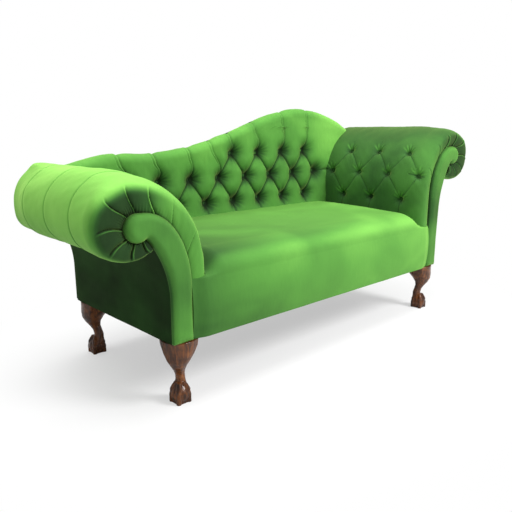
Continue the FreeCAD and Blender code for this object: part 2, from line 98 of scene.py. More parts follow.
def relief(tree, shader, height, distance, strength=1.0, below=None):
    bump = tree.nodes.new("ShaderNodeBump")
    settle(bump, Distance=distance, Strength=strength)
    tree.links.new(height, bump.inputs["Height"])
    if below is not None:
        tree.links.new(below, bump.inputs["Normal"])
    tree.links.new(bump.outputs["Normal"], shader.inputs["Normal"])
    return bump.outputs["Normal"]


def combine(tree, operation, *values):
    # One step of arithmetic over links and plain numbers
    step = tree.nodes.new("ShaderNodeMath")
    step.operation = operation
    for socket, value in zip(step.inputs, values):
        if isinstance(value, float):
            socket.default_value = value
        else:
            tree.links.new(value, socket)
    return step.outputs["Value"]


def finish_nodes(finish, *names):
    for name in names:
        slots = nodes[name].data.materials
        slots.clear()
        slots.append(finish)


beech, tree, shader, place = new_finish("beech")
along = stretched(tree, place, (3.0, 60.0, 60.0))
figure = grain(tree, along, 2.2, 5.0, 0.6, 0.6)
tree.links.new(tones(tree, figure, [(0.3, linear(168, 124, 86)), (0.55, linear(202, 160, 116)),
                                    (0.75, linear(214, 178, 136))]), shader.inputs["Base Color"])
settle(shader, Roughness=0.62)
relief(tree, shader, figure, 0.0006, 0.4)
timber_names = [name for name in nodes if name.startswith((
    "seat_rail", "seat_cross", "arm_scroll", "arm_roll", "arm_tacking", "back_post", "back_upright",
    "back_tacking", "back_crest", "frame_dowels", "leg_corner"))]
finish_nodes(beech, *timber_names)


# Cabriole legs: solid hardwood, turned and carved to a ball held by four talons, stained dark
# like mahogany and polished. Each is bolted up through a block in the corner of the rails.
leg_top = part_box("leg_front_left")[1].z
outward = Vector((-1.0, -1.0, 0.0)).normalized()
across = Vector((1.0, -1.0, 0.0)).normalized()
foot = Vector((-0.684, -0.2645, 0.0))
leg_sections = [
    # height, shift along the outward diagonal, half size along it, half size across it
    (0.030, 0.000, 0.0290, 0.0280),
    (0.044, -0.003, 0.0265, 0.0250),
    (0.058, -0.008, 0.0200, 0.0184),
    (0.072, -0.011, 0.0172, 0.0152),
    (0.090, -0.006, 0.0168, 0.0150),
    (0.106, 0.002, 0.0200, 0.0180),
    (0.122, 0.008, 0.0280, 0.0245),
    (0.142, 0.008, 0.0390, 0.0362),
    (0.162, 0.001, 0.0475, 0.0465),
    (0.184, -0.006, 0.0525, 0.0545),
    (leg_top - 0.0005, -0.008, 0.0545, 0.0575),
]


def edit_everything():
    # Opens the active mesh for editing with all of it selected
    bpy.ops.object.mode_set(mode="EDIT")
    bpy.ops.mesh.select_all(action="SELECT")


def apply_place():
    bpy.ops.object.transform_apply(location=True, rotation=True, scale=True)


def selected_corners(mesh_object, height, tolerance=0.004):
    # Selects the four places of the newest ring that stand on the two diagonals of the leg
    bpy.ops.object.mode_set(mode="OBJECT")
    for part in (*mesh_object.data.vertices, *mesh_object.data.edges, *mesh_object.data.polygons):
        part.select = False
    ring = [vertex for vertex in mesh_object.data.vertices if abs(vertex.co.z - height) < 0.0005]
    middle = sum((vertex.co for vertex in ring), Vector()) / len(ring)
    for vertex in ring:
        offset = vertex.co - middle
        if min(abs(offset.dot(outward)), abs(offset.dot(across))) < tolerance:
            vertex.select = True
    bpy.ops.object.mode_set(mode="EDIT")
    return middle


bpy.ops.mesh.primitive_circle_add(vertices=24, radius=1.0, fill_type="NGON",
                                  location=foot + Vector((0, 0, leg_sections[0][0])),
                                  rotation=(0, 0, math.atan2(outward.y, outward.x)))
shank = bpy.context.object
shank.name = "leg_shank"
apply_place()
bpy.ops.object.mode_set(mode="EDIT")
bpy.ops.mesh.select_mode(type="VERT")
diagonal_turn = Matrix.Rotation(math.atan2(outward.y, outward.x), 3, "Z")
before = None
for height, shift, half_along, half_across in leg_sections:
    centre = foot + outward * shift + Vector((0, 0, height))
    if before is None:
        bpy.ops.transform.translate(value=outward * shift)
        scale = (half_along, half_across, 1.0)
    else:
        bpy.ops.mesh.extrude_region_move(TRANSFORM_OT_translate={"value": centre - before[0]})
        scale = (half_along / before[1], half_across / before[2], 1.0)
    bpy.ops.transform.resize(value=scale, orient_matrix=diagonal_turn, orient_type="LOCAL",
                             orient_matrix_type="LOCAL", center_override=centre)
    before = (centre, half_along, half_across)
# The knee is squarer than the ankle: its corners are drawn out on the diagonals
for height, push in ((0.142, 1.03), (0.162, 1.05), (0.184, 1.06), (leg_top - 0.0005, 1.06)):
    middle = selected_corners(shank, height)
    bpy.ops.transform.resize(value=(push, push, 1.0), center_override=middle)
bpy.ops.object.mode_set(mode="OBJECT")

# The ball, flattened where it stands, its squared base, and a jointed talon at each of its quarters
ball_radius = 0.0300
ball_middle = foot + Vector((0, 0, 0.0260))
base_middle = foot + Vector((0, 0, 0.008))
base_size = (0.046, 0.046, 0.026)
carving_step = 0.0014
bpy.ops.mesh.primitive_uv_sphere_add(segments=32, ring_count=20, radius=ball_radius,
                                     location=ball_middle)
ball = bpy.context.object
apply_place()
edit_everything()
bpy.ops.transform.resize(value=(1.0, 1.0, 0.94), center_override=ball_middle)
bpy.ops.object.mode_set(mode="OBJECT")
talon_joints = [
    # distance from the ball's axis, height, thickness
    (0.0110, 0.066, 0.0075), (0.0180, 0.054, 0.0085), (0.0225, 0.043, 0.0098), (0.0245, 0.034, 0.0078),
    (0.0258, 0.025, 0.0092), (0.0262, 0.015, 0.0082), (0.0268, 0.007, 0.0080), (0.0268, -0.002, 0.0078),
]
bpy.ops.mesh.primitive_cube_add(size=1.0, location=base_middle)
base = bpy.context.object
base.scale = base_size
apply_place()
toes = [base]
for quarter in range(4):
    heading = Matrix.Rotation(math.pi / 2 * quarter, 3, "Z") @ outward
    first = talon_joints[0]
    spot = foot + heading * first[0] + Vector((0, 0, first[1]))
    bpy.ops.mesh.primitive_circle_add(vertices=10, radius=first[2], fill_type="NGON", location=spot)
    toe = bpy.context.object
    apply_place()
    edit_everything()
    for start, end in zip(talon_joints, talon_joints[1:]):
        move = heading * (end[0] - start[0]) + Vector((0, 0, end[1] - start[1]))
        spot = spot + move
        bpy.ops.mesh.extrude_region_move(TRANSFORM_OT_translate={"value": move})
        bpy.ops.transform.resize(value=(end[2] / start[2],) * 3, center_override=spot)
    bpy.ops.object.mode_set(mode="OBJECT")
    toes.append(toe)
for piece in [shank, ball, *toes]:
    piece.select_set(True)
bpy.context.view_layer.objects.active = shank
bpy.ops.object.join()
edit_everything()
bpy.ops.mesh.normals_make_consistent(inside=False)
bpy.ops.object.mode_set(mode="OBJECT")
carve = shank.modifiers.new("one_piece", "REMESH")
carve.mode = "VOXEL"
carve.voxel_size = carving_step
bpy.ops.object.modifier_apply(modifier=carve.name)
soften = shank.modifiers.new("rubbed_down", "SMOOTH")
soften.factor = 0.5
soften.iterations = 5
bpy.ops.object.modifier_apply(modifier=soften.name)
edit_everything()
bpy.ops.mesh.bisect(plane_co=(0, 0, 0.0), plane_no=(0, 0, 1), clear_inner=True, use_fill=True)
bpy.ops.object.mode_set(mode="OBJECT")
bpy.ops.object.shade_smooth_by_angle(angle=math.radians(50))

stained_wood, tree, shader, place = new_finish("stained_wood")
upright_grain = stretched(tree, place, (38.0, 38.0, 7.0))
figure = grain(tree, upright_grain, 1.6, 6.0, 0.62, 1.2)
mottle = grain(tree, place, 34.0, 3.0, 0.5)
mottle_share = 0.35
blend = combine(tree, "MULTIPLY_ADD", mottle, mottle_share,
                combine(tree, "MULTIPLY", figure, 1.0 - mottle_share))
tree.links.new(tones(tree, blend, [
    (0.36, linear(28, 14, 6)), (0.48, linear(66, 35, 14)), (0.58, linear(96, 54, 21)),
    (0.70, linear(128, 76, 33))]), shader.inputs["Base Color"])
settle(shader, Roughness=0.42, Specular_IOR_Level=0.15, Coat_Weight=0.3, Coat_Roughness=0.10)
relief(tree, shader, figure, 0.0005, 0.35)
shank.data.materials.clear()
shank.data.materials.append(stained_wood)

leg_turns = {"front_left": (1, 1), "front_right": (-1, 1), "rear_left": (1, -1), "rear_right": (-1, -1)}
depth_middle = (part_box("leg_front_left")[0].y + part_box("leg_rear_left")[1].y) / 2
for corner, (flip_x, flip_y) in leg_turns.items():
    leg = shank.copy()
    leg.data = shank.data.copy()
    leg.name = "carved_leg_" + corner
    bpy.context.collection.objects.link(leg)
    mirrored = Matrix.Diagonal((flip_x, flip_y, 1.0, 1.0))
    leg.data.transform(Matrix.Translation((0, -depth_middle, 0)))
    leg.data.transform(mirrored)
    leg.data.transform(Matrix.Translation((0, depth_middle, 0)))
    if flip_x * flip_y < 0:
        leg.data.flip_normals()
    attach(leg, "root")
    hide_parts("leg_" + corner)
bpy.data.objects.remove(shank)


# Leg bolts, zigzag seat springs and their clips: blackened and bright steel, the springs hooked
# into clips nailed to the front and rear rails.
steel, tree, shader, place = new_finish("spring_steel")
scale_marks = grain(tree, place, 140.0, 4.0, 0.6)
tree.links.new(tones(tree, scale_marks, [(0.35, linear(70, 70, 72)), (0.65, linear(128, 128, 130))]),
               shader.inputs["Base Color"])
settle(shader, Metallic=0.9, Roughness=0.42)
relief(tree, shader, scale_marks, 0.0002, 0.3)
finish_nodes(steel, "leg_bolts", "seat_springs", "spring_clips")


# Hessian over the springs and in the arms, and jute webbing across the back: plain woven jute,
# stretched and tacked to the rails.
def weave(tree, place, pitch, axes):
    # Two crossed rows of threads, as a height
    rows = []
    for axis in axes:
        wave = tree.nodes.new("ShaderNodeTexWave")
        wave.wave_type = "BANDS"
        wave.bands_direction = axis
        settle(wave, Scale=1.0 / pitch / 6.28, Distortion=0.6)
        tree.links.new(place, wave.inputs["Vector"])
        rows.append(wave.outputs["Fac"])
    return combine(tree, "MULTIPLY", *rows)


for name, axes, covered in (
        ("hessian", ("X", "Y"), ["seat_hessian"]),
        ("arm_hessian", ("Y", "Z"), ["arm_lining_left", "arm_lining_right"]),
        ("jute_webbing", ("X", "Z"), ["back_webbing"])):
    jute, tree, shader, place = new_finish(name)
    threads = weave(tree, place, 0.0022, axes)
    tree.links.new(tones(tree, threads, [(0.1, linear(112, 84, 50)), (0.8, linear(182, 150, 104))]),
                   shader.inputs["Base Color"])
    settle(shader, Roughness=0.9)
    relief(tree, shader, threads, 0.0008, 0.7)
    finish_nodes(jute, *covered)


# Velvet: short dense green pile. It is dark seen straight on and turns to a bright yellow-green
# where it is seen along the surface, with faint marks where hands have brushed it.
velvet_tones = [
    # from painted shade, dark, through the velvet's own green to painted highlight, a bright yellow-green
    (0.00, linear(15, 34, 13)), (0.25, linear(38, 76, 31)), (0.50, linear(72, 127, 50)),
    (0.75, linear(113, 174, 74)), (1.00, linear(164, 222, 110)),
]


def paint_shading(piece, painted_shading):
    # Keeps on each point of a piece its painted light and shade, from -1 for painted shade to 1 for painted
    # highlight
    layer = piece.data.attributes.new("painted_shading", "FLOAT", "POINT")
    layer.data.foreach_set("value", np.asarray(painted_shading, dtype=np.float32).ravel())


def make_velvet(name, painted_darkening=0.0):
    # The covers outside get painted shade: their tones are shifted darker, and they are given little sheen
    finish, tree, shader, place = new_finish(name)
    brushed = grain(tree, stretched(tree, place, (2.2, 3.0, 3.0), (0.3, 0.2, 0.5)), 1.5, 2.0, 0.5, 0.6)
    streaks_and_highlights = grain(tree, stretched(tree, place, (60.0, 60.0, 9.0)), 2.2, 3.0, 0.6)
    pile = grain(tree, place, 700.0, 2.0, 0.6)
    painted_shading_source = tree.nodes.new("ShaderNodeAttribute")
    painted_shading_source.attribute_name = "painted_shading"
    level = painted_shading_source.outputs["Fac"]
    for source, share in ((brushed, 0.60), (streaks_and_highlights, 0.10)):
        level = combine(tree, "MULTIPLY_ADD", combine(tree, "SUBTRACT", source, 0.5), share, level)
    spread = tree.nodes.new("ShaderNodeMapRange")
    settle(spread, From_Min=-1.0 + painted_darkening, From_Max=1.0 + painted_darkening)
    tree.links.new(level, spread.inputs["Value"])
    tree.links.new(tones(tree, spread.outputs["Result"], velvet_tones), shader.inputs["Base Color"])
    specular, sheen = (0.12, 0.38) if painted_darkening == 0.0 else (0.05, 0.08)
    settle(shader, Roughness=0.8, Specular_IOR_Level=specular, Sheen_Weight=sheen, Sheen_Roughness=0.4,
           Sheen_Tint=linear(190, 236, 120))
    broad = relief(tree, shader, streaks_and_highlights, 0.0010, 0.2)
    relief(tree, shader, pile, 0.0005, 0.35, broad)
    return finish


velvet = make_velvet("green_velvet")


# Seat pad: a sprung foam and fibre pad under one piece of velvet, pulled over a rounded front
# edge and down over the front rail between the two facings, where it is tacked underneath.
half_length = 0.729
front_y = -0.3095
rear_y = 0.3235
board_front = -0.2975
pad_rear = 0.3180
leg_height = leg_top
seat_foot = 0.3025
arm_inner = 0.140
facing_width = 0.072
corner_height = 0.402
crown_rise = 0.058
nose_reach = 0.118
seat_rear = 0.262


def finished_piece(name, points, faces, finish, painted_shading, crease, merge=0.0):
    # A piece through these points, its faces outward and smooth up to the crease, in degrees
    mesh = bpy.data.meshes.new(name)
    mesh.from_pydata(points.tolist(), [], faces)
    piece = bpy.data.objects.new(name, mesh)
    if painted_shading is not None:
        paint_shading(piece, painted_shading)
    bpy.context.collection.objects.link(piece)
    bpy.ops.object.select_all(action="DESELECT")
    piece.select_set(True)
    bpy.context.view_layer.objects.active = piece
    edit_everything()
    if merge:
        bpy.ops.mesh.remove_doubles(threshold=merge)
    bpy.ops.mesh.normals_make_consistent(inside=False)
    bpy.ops.object.mode_set(mode="OBJECT")
    bpy.ops.object.shade_smooth_by_angle(angle=math.radians(crease))
    piece.data.materials.append(finish)
    piece.select_set(False)
    return piece


def rows_to_mesh(name, rings, finish, painted_shading=None):
    # Closed skin through rings of equally many points, its two ends filled
    stations, count = rings.shape[:2]
    index = np.arange(stations * count).reshape(stations, count)
    ahead = np.roll(index, -1, axis=1)
    quads = np.stack([index[:-1], ahead[:-1], ahead[1:], index[1:]], axis=-1).reshape(-1, 4)
    faces = quads.tolist() + [index[0][::-1].tolist(), index[-1].tolist()]
    return finished_piece(name, rings.reshape(-1, 3), faces, finish, painted_shading, 60, 0.00002)


def waves(first, second, seed, longest=0.5, octaves=4):
    # Smooth, seeded unevenness from -1 to 1 over two coordinates in metres
    chance = random.Random(seed)
    total = np.zeros(np.broadcast(first, second).shape)
    weight = 0.0
    for octave in range(octaves):
        length = longest / 1.9 ** octave
        share = 0.7 ** octave
        for _ in range(3):
            heading = chance.uniform(0, 2 * math.pi)
            phase = chance.uniform(0, 2 * math.pi)
            run = (first * math.cos(heading) + second * math.sin(heading)) * 2 * math.pi / length
            total = total + share * np.sin(run + phase) / 3
        weight += share
    return total / weight * 1.6


def smooth_step(value, start, end):
    t = np.clip((value - start) / (end - start), 0, 1)
    return t * t * (3 - 2 * t)


def resample(points, count):
    # The same line with its points evenly spaced
    steps = np.linalg.norm(np.diff(points, axis=0), axis=1)
    length = np.concatenate([[0], np.cumsum(steps)])
    even = np.linspace(0, length[-1], count)
    return np.stack([np.interp(even, length, points[:, axis]) for axis in range(points.shape[1])], axis=1)


def seat_profile(lift):
    # From the tack line under the front rail, up the front, over the nose and back to the seat's
    # rear, as (y, z). Lift is 1 between the arms and 0 in front of them.
    crown = corner_height + crown_rise * lift
    up = np.linspace(0, 1, 24)
    front = np.stack([front_y - 0.006 - 0.0085 * np.sin(up * math.pi) ** 0.8 - 0.001 * up,
                      leg_height + 0.001 + (corner_height - 0.012 - leg_height) * up], axis=1)
    turn = np.linspace(0, math.pi / 2, 26)[1:]
    start = front[-1]
    nose = np.stack([start[0] + nose_reach * (1 - np.cos(turn) ** 0.9),
                     start[1] + (crown - start[1]) * np.sin(turn) ** 0.86], axis=1)
    back = np.linspace(0, 1, 90)[1:]
    top_start = nose[-1]
    top = np.stack([top_start[0] + (seat_rear - top_start[0]) * back,
                    top_start[1] + 0.011 * np.sin(back * math.pi * 0.62) * lift
                    - 0.002 * back], axis=1)
    return resample(np.concatenate([front, nose, top]), 230)


columns = 420
side_reach = half_length - facing_width + 0.001
xs = np.linspace(-side_reach, side_reach, columns)
between_arms = half_length - arm_inner
full, low_border = seat_profile(1.0), seat_profile(0.0)
rings, seat_painted_shading = [], []
for x in xs:
    # The top runs between the arms and rounds off against them; in front of them it stays low
    lift = 1.0 - smooth_step(abs(x), between_arms - 0.060, between_arms + 0.016) ** 1.3
    line = low_border + (full - low_border) * lift
    outside = smooth_step(abs(x), between_arms, between_arms + 0.012)
    held = np.minimum(line[:, 0], board_front + 0.001)
    y = line[:, 0] * (1 - outside) + held * outside
    on_front = 1 - smooth_step(line[:, 0], front_y + 0.004, front_y + 0.05)
    height_share = np.clip((line[:, 1] - leg_height) / (corner_height - leg_height), 0, 1)
    middle = max(0.0, 1 - (x / side_reach) ** 2)
    y = y - 0.004 * middle * np.sin(height_share * math.pi) * on_front
    # The border is drawn back where the facings hold it
    y = y + 0.012 * smooth_step(abs(x), side_reach - 0.060, side_reach) ** 1.4 * on_front
    y = y + 0.0010 * waves(x, line[:, 1], 5, 0.45, 3) * on_front
    z = line[:, 1] + 0.0016 * waves(x, line[:, 0], 3, 0.6, 3) * (1 - on_front) * lift
    z = z + 0.004 * max(0.0, 1 - (x / between_arms) ** 2) * lift * smooth_step(line[:, 0], -0.28, -0.1)
    rear = seat_rear * (1 - outside) + (board_front + 0.001) * outside
    hidden = np.array([[rear, seat_foot], [board_front + 0.0005, seat_foot],
                       [board_front, leg_height + 0.001]])
    loop = np.concatenate([np.stack([y, z], axis=1), hidden])
    rings.append(np.stack([np.full(len(loop), x), loop[:, 0], loop[:, 1]], axis=1))
    # Painted light and shade: lighter to the right and on the front, a painted highlight along the nose, and
    # painted shade low on the front and near the low arm
    across_share = x / side_reach
    on_front_loop = np.concatenate([on_front, np.zeros(3)])
    painted_light = 0.15 * across_share * (2 - 1.2 * on_front_loop) - 0.14 + 0.14 * on_front_loop
    painted_light = painted_light + 0.20 * np.exp(-((loop[:, 1] - 0.430) / 0.022) ** 2) * (0.5 + 0.5 * across_share)
    painted_light = painted_light - 0.16 * np.clip(1 - (loop[:, 1] - leg_height) / 0.16, 0, 1)
    painted_light = painted_light - 0.20 * math.exp(-((x + side_reach) / 0.12) ** 2)
    seat_painted_shading.append(painted_light)
seat = rows_to_mesh("seat_cover", np.array(rings), velvet, np.array(seat_painted_shading))
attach(seat, "root")
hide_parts("seat_pad")


# Arms: foam and fibre over a hessian lining, buttoned on the inside face and rolled over a round
# rail. The velvet is pleated into both ends of the roll, under the facing and the outside back.
roll_out = 0.120
roll_radius = 0.115
eye_out = 0.099
eye_height = 0.565
eye_radius = 0.040
curl_out = 0.080
curl_height = 0.225
eye_stop = math.radians(-125)
eye_notch = math.radians(-130)
arm_kinds = {
    # side, height of the roll's middle, top of the straight inner face, rise over the low arm
    "left": (-1, 0.600, 0.440, 0.0),
    "right": (1, 0.717, 0.545, 0.137),
}
wall_step = 0.0028
sweep_points = 150
arc_points = 190


def roll_line(roll_z, straight, wall_points):
    # Outside of the arm in its own section, as (distance outboard of the base, height). The roll
    # sags a little: it is flatter over the outer shoulder and fuller underneath.
    wall = np.stack([np.full(wall_points, -arm_inner), np.linspace(seat_foot, straight, wall_points)], axis=1)
    turn = np.linspace(0, math.pi / 2, sweep_points + 1)[1:]
    sweep = np.stack([roll_out - (roll_out + arm_inner) * np.cos(turn),
                      straight + (roll_z + roll_radius - straight) * np.sin(turn)], axis=1)
    angle = np.linspace(math.pi / 2, eye_stop, arc_points + 1)[1:]
    degrees = np.degrees(angle)
    radius = (roll_radius + 0.006 * np.exp(-((degrees + 35) / 30) ** 2)
              - 0.004 * np.exp(-((degrees - 50) / 26) ** 2))
    roll = np.stack([roll_out + radius * np.cos(angle), roll_z + radius * np.sin(angle)], axis=1)
    return np.concatenate([wall, sweep, roll])


def scroll_line(rise, inset, wall_points):
    # The scroll of the wooden board, point for point opposite the line of the roll
    eye_z = eye_height + rise
    start_z = eye_height + eye_radius - curl_height + rise
    inner = inset - facing_width
    radius = eye_radius - inset
    wall = np.stack([np.full(wall_points, inner), np.linspace(seat_foot, start_z, wall_points)], axis=1)
    turn = np.linspace(0, math.pi / 2, sweep_points + 1)[1:]
    across_out = curl_out + (eye_out - curl_out) * smooth_step(turn, 1.0, math.pi / 2)
    sweep = np.stack([across_out - (curl_out - inner) * np.cos(turn),
                      start_z + (curl_height - inset) * np.sin(turn)], axis=1)
    angle = np.linspace(math.pi / 2, eye_stop, arc_points + 1)[1:]
    eye = np.stack([eye_out + radius * np.cos(angle), eye_z + radius * np.sin(angle)], axis=1)
    return np.concatenate([wall, sweep, eye])


def run_lengths(line):
    return np.concatenate([[0], np.cumsum(np.linalg.norm(np.diff(line, axis=0), axis=1))])


def fold_depth(first, second, folds):
    # How far the cover is drawn in at each place: folds are lines of (a, b, depth) points with
    # the reach of the slope on either side; where they meet, the deepest wins, rounded a little
    total = np.zeros(first.shape)
    for line, reach_left, reach_right, sharp in folds:
        margin = max(reach_left, reach_right)
        low = np.min(line, axis=0) - margin
        high = np.max(line, axis=0) + margin
        near = (first > low[0]) & (first < high[0]) & (second > low[1]) & (second < high[1])
        a, b = first[near], second[near]
        nearest = np.full(a.shape, 1e9)
        signed = np.zeros(a.shape)
        depth = np.zeros(a.shape)
        for (a0, b0, d0), (a1, b1, d1) in zip(line, line[1:]):
            da, db = a1 - a0, b1 - b0
            t = np.clip(((a - a0) * da + (b - b0) * db) / (da * da + db * db), 0, 1)
            off_a, off_b = a - (a0 + t * da), b - (b0 + t * db)
            gap = np.hypot(off_a, off_b)
            closer = gap < nearest
            nearest = np.where(closer, gap, nearest)
            signed = np.where(closer, da * off_b - db * off_a, signed)
            depth = np.where(closer, d0 + (d1 - d0) * t, depth)
        inside = np.clip(nearest / np.where(signed > 0, reach_left, reach_right), 0, 1)
        total[near] += (depth * (1 - inside ** sharp) ** 2) ** 5
    return total ** 0.2


def rounded(line):
    # The same line with its corners cut twice, so that it runs as a curve
    for _ in range(2):
        cut = [line[0]]
        for start, end in zip(line, line[1:]):
            cut.append(tuple(0.75 * s + 0.25 * e for s, e in zip(start, end)))
            cut.append(tuple(0.25 * s + 0.75 * e for s, e in zip(start, end)))
        line = cut + [line[-1]]
    return line


def painted_line_mask(first, second, folds, width, full_depth):
    # 1 along the bottom of each line, down to 0 beside it: a mask for painted shade in folds and for painted
    # highlights beside them
    thin = []
    for line, *_ in folds:
        marked = [(a, b, min(1.0, depth / full_depth)) for a, b, depth in line]
        thin.append((marked, width, width, 1.0))
    return np.clip(fold_depth(first, second, thin), 0, 1)


def sagging(start, end, depth_start, depth_end, middle, steps=8, bow=0.0):
    # A fold between two points that is deep at its ends and shallow between them
    points = []
    side = (-(end[1] - start[1]), end[0] - start[0])
    for step in range(steps + 1):
        t = step / steps
        depth = middle + (depth_start - middle) * (1 - t) ** 3.0 + (depth_end - middle) * t ** 3.0
        swing = bow * math.sin(math.pi * t)
        points.append((start[0] + (end[0] - start[0]) * t + side[0] * swing,
                       start[1] + (end[1] - start[1]) * t + side[1] * swing, depth))
    return points


def gather(button, tip, depths):
    # A short fold from a button out to its tip, through a point a third of the way along
    between = [(at * 2 + to) / 3 for at, to in zip(button, tip)]
    return [(*button, depths[0]), (*between, depths[1]), (*tip, depths[2])]


def merged(depth, pits):
    # The deeper of the two, rounded where they meet
    return (depth ** 3 + pits ** 3) ** (1 / 3)


def tuft_pits(first, second, buttons, deep, flat, slope, power, seed, rays, ray_depth, ray_reach):
    # Round pits with short gathers that run out from each button
    total = np.zeros(first.shape)
    chance = random.Random(seed)
    for a, b in buttons:
        off_a, off_b = first - a, second - b
        away = np.hypot(off_a, off_b)
        near = away < 0.16
        angle = np.arctan2(off_b, off_a)
        pit = deep * np.exp(-(np.clip(away - flat, 0, None) / slope) ** power)
        gathers = np.zeros(first.shape)
        for _ in range(rays):
            heading = chance.uniform(-math.pi, math.pi)
            width = chance.uniform(0.10, 0.20)
            reach = ray_reach * chance.uniform(0.6, 1.3)
            turn = (angle - heading + math.pi) % (2 * math.pi) - math.pi
            gathers += np.exp(-(turn / width) ** 2) * np.exp(-(away / reach) ** 2) * chance.uniform(0.5, 1.2)
        gathers *= np.clip((away - flat * 0.6) / flat, 0, 1)
        total = np.where(near, merged(total, pit) + ray_depth * gathers, total)
    return total


def surface_normals(points):
    along = np.gradient(points, axis=0)
    around = np.gradient(points, axis=1)
    normal = np.cross(along, around)
    return normal / np.maximum(np.linalg.norm(normal, axis=2, keepdims=True), 1e-9)


arm_button_pitch = 0.162
arm_rows_below_top = [0.109, 0.208, 0.321]
arm_tuft_depth = 0.021
# Where the pleats of a roll's front end start at its rim and end at the eye of the scroll, in
# degrees about the middle; over 90 they lie on the sweep down to the seat
pleats = [(153, 157), (124, 128), (103, 110), (80, 90), (38, 50), (-8, -2), (-47, -42), (-84, -80), (-116, -112)]
front_rows, rear_rows, body_rows = 46, 22, 236
rim_row = front_rows // 2
body_rear = 0.288
rear_roundness = 0.0290
lowest_tuft = 0.494
board_inset, lining_inset = 0.002, 0.0028
button_seats = {"left": [], "right": []}
for arm_name, (side, roll_z, straight, rise) in arm_kinds.items():
    wall_points = int((straight - seat_foot) / wall_step)
    outer = roll_line(roll_z, straight, wall_points)
    scroll = scroll_line(rise, board_inset, wall_points)
    lengths = run_lengths(outer)
    count = len(outer)
    top_column = wall_points + sweep_points - 1
    crown_z = roll_z + roll_radius
    # The turn of each column about the roll: 180 along the wall, 90 on the crown, less outside
    turn = np.concatenate([np.full(wall_points, 180.0), np.linspace(180, 90, sweep_points + 1)[1:],
                           np.linspace(90, math.degrees(eye_stop), arc_points + 1)[1:]])
    round_roll = -turn[None, :]
    outside = smooth_step(-turn, -90.0, -25.0)
    starts = -0.240 + 0.018 * np.exp(-((turn - 95) / 40) ** 2) - 0.036 * outside
    rim_share = 0.46 - 0.04 * smooth_step(-turn, -150.0, -90.0) - 0.14 * outside
    rim_y = -0.308 - 0.005 * outside
    droop = np.where(turn > 90, smooth_step(outer[:, 1], straight, crown_z), 1.0)

    def section(y):
        # The cover's section where the roll is at the places y along it: it droops towards the
        # front and is drawn in at the rear
        ahead = smooth_step(-y, 0.13, 0.27)
        behind = smooth_step(y, 0.10, 0.30)
        u = outer[:, 0] - behind * (0.035 * smooth_step(-turn, -100, -50) - 0.022 * smooth_step(-turn, 0, 70))
        z = outer[:, 1] - 0.011 * droop * ahead
        return np.stack([u, z], axis=1)

    skin = np.zeros((front_rows + body_rows + rear_rows, count, 3))
    face_share = np.zeros(skin.shape[:2])
    for row in range(len(skin)):
        if row < front_rows:
            gone = 1 - row / front_rows
            if gone < 0.5:
                bend = gone / 0.5 * math.pi / 2
                share = rim_share * (1 - math.cos(bend))
                y = starts + (rim_y - starts) * math.sin(bend)
            else:
                rest = (gone - 0.5) / 0.5
                share = rim_share + (1 - rim_share) * rest
                y = rim_y + (board_front + 0.0005 - rim_y) * rest ** 2.4
            line = section(starts)
        elif row < front_rows + body_rows:
            t = (row - front_rows) / body_rows
            y = starts + (body_rear - starts) * t
            share = np.zeros(count)
            line = section(y)
        else:
            gone = (row - front_rows - body_rows) / (rear_rows - 1)
            share = 1 - math.cos(gone * math.pi / 2) ** 0.85 + np.zeros(count)
            y = body_rear + rear_roundness * math.sin(gone * math.pi / 2) ** 0.8 + np.zeros(count)
            line = section(np.full(count, body_rear))
        line = line + (scroll - line) * np.reshape(share, (-1, 1))
        skin[row, :, 0] = side * (half_length + line[:, 0])
        skin[row, :, 1] = y
        skin[row, :, 2] = line[:, 1]
        face_share[row] = share
    # Place of each point as laid flat: its run round the section, and along the couch's depth
    first = np.broadcast_to(lengths[None, :], skin.shape[:2])
    second = skin[:, :, 1].copy()
    steps = np.linalg.norm(np.diff(skin, axis=0), axis=2)
    ahead = np.cumsum(steps[:front_rows][::-1], axis=0)[::-1]
    second[:front_rows] = starts[None, :] - ahead
    last_body = front_rows + body_rows - 1
    second[last_body + 1:] = second[last_body] + np.cumsum(steps[last_body:], axis=0)
    middle_y = (board_front + 0.238) / 2
    rows = []
    for row, drop in enumerate(arm_rows_below_top):
        z = crown_z - drop
        if z < lowest_tuft:
            continue
        spot = float(np.interp(z, outer[:top_column, 1], lengths[:top_column]))
        in_row = 4 if row % 2 else 3
        rows.append([(spot, middle_y + (index - (in_row - 1) / 2) * arm_button_pitch)
                     for index in range(in_row)])
    buttons = [spot for row in rows for spot in row]
    folds = []
    for upper, lower in zip(rows, rows[1:]):
        for a in upper:
            for b in lower:
                if abs(abs(a[1] - b[1]) - arm_button_pitch / 2) < 0.01:
                    folds.append((sagging(a, b, 0.010, 0.010, 0.0011, bow=0.05), 0.018, 0.026, 0.7))
    run_end = lengths[-1]
    over = lengths[top_column]
    for spot, y in rows[0]:
        # On the low arm each fold from the top row goes right over the roll to the board below
        # it; on the high arm it dies out below the roll
        if side < 0:
            line = [(spot, y, 0.012), (spot + 0.03, y + 0.002, 0.0048), (spot + 0.07, y + 0.003, 0.0034),
                    (over, y + 0.004, 0.0034), (over + 0.2, y + 0.004, 0.0036), (run_end, y + 0.004, 0.0045)]
        else:
            line = [(spot, y, 0.012), (spot + 0.03, y + 0.002, 0.0040), (spot + 0.06, y + 0.003, 0.0002)]
        folds.append((line, 0.0035, 0.020, 0.6))
    for spot, y in rows[-1]:
        line = [(spot, y, 0.012), (spot - 0.025, y + 0.001, 0.0045), (0.10, y + 0.002, 0.0030), (0, y, 0.003)]
        folds.append((line, 0.012, 0.020, 0.6))
    front_button, rear_button = rows[1][0], rows[1][-1]
    folds.append(([(*front_button, 0.012), (front_button[0] + 0.004, -0.225, 0.0036),
                   (front_button[0] + 0.002, -0.30, 0.0055)], 0.0045, 0.018, 0.6))
    folds.append(([(*rear_button, 0.011), (rear_button[0], 0.31, 0.004)], 0.010, 0.016, 0.6))
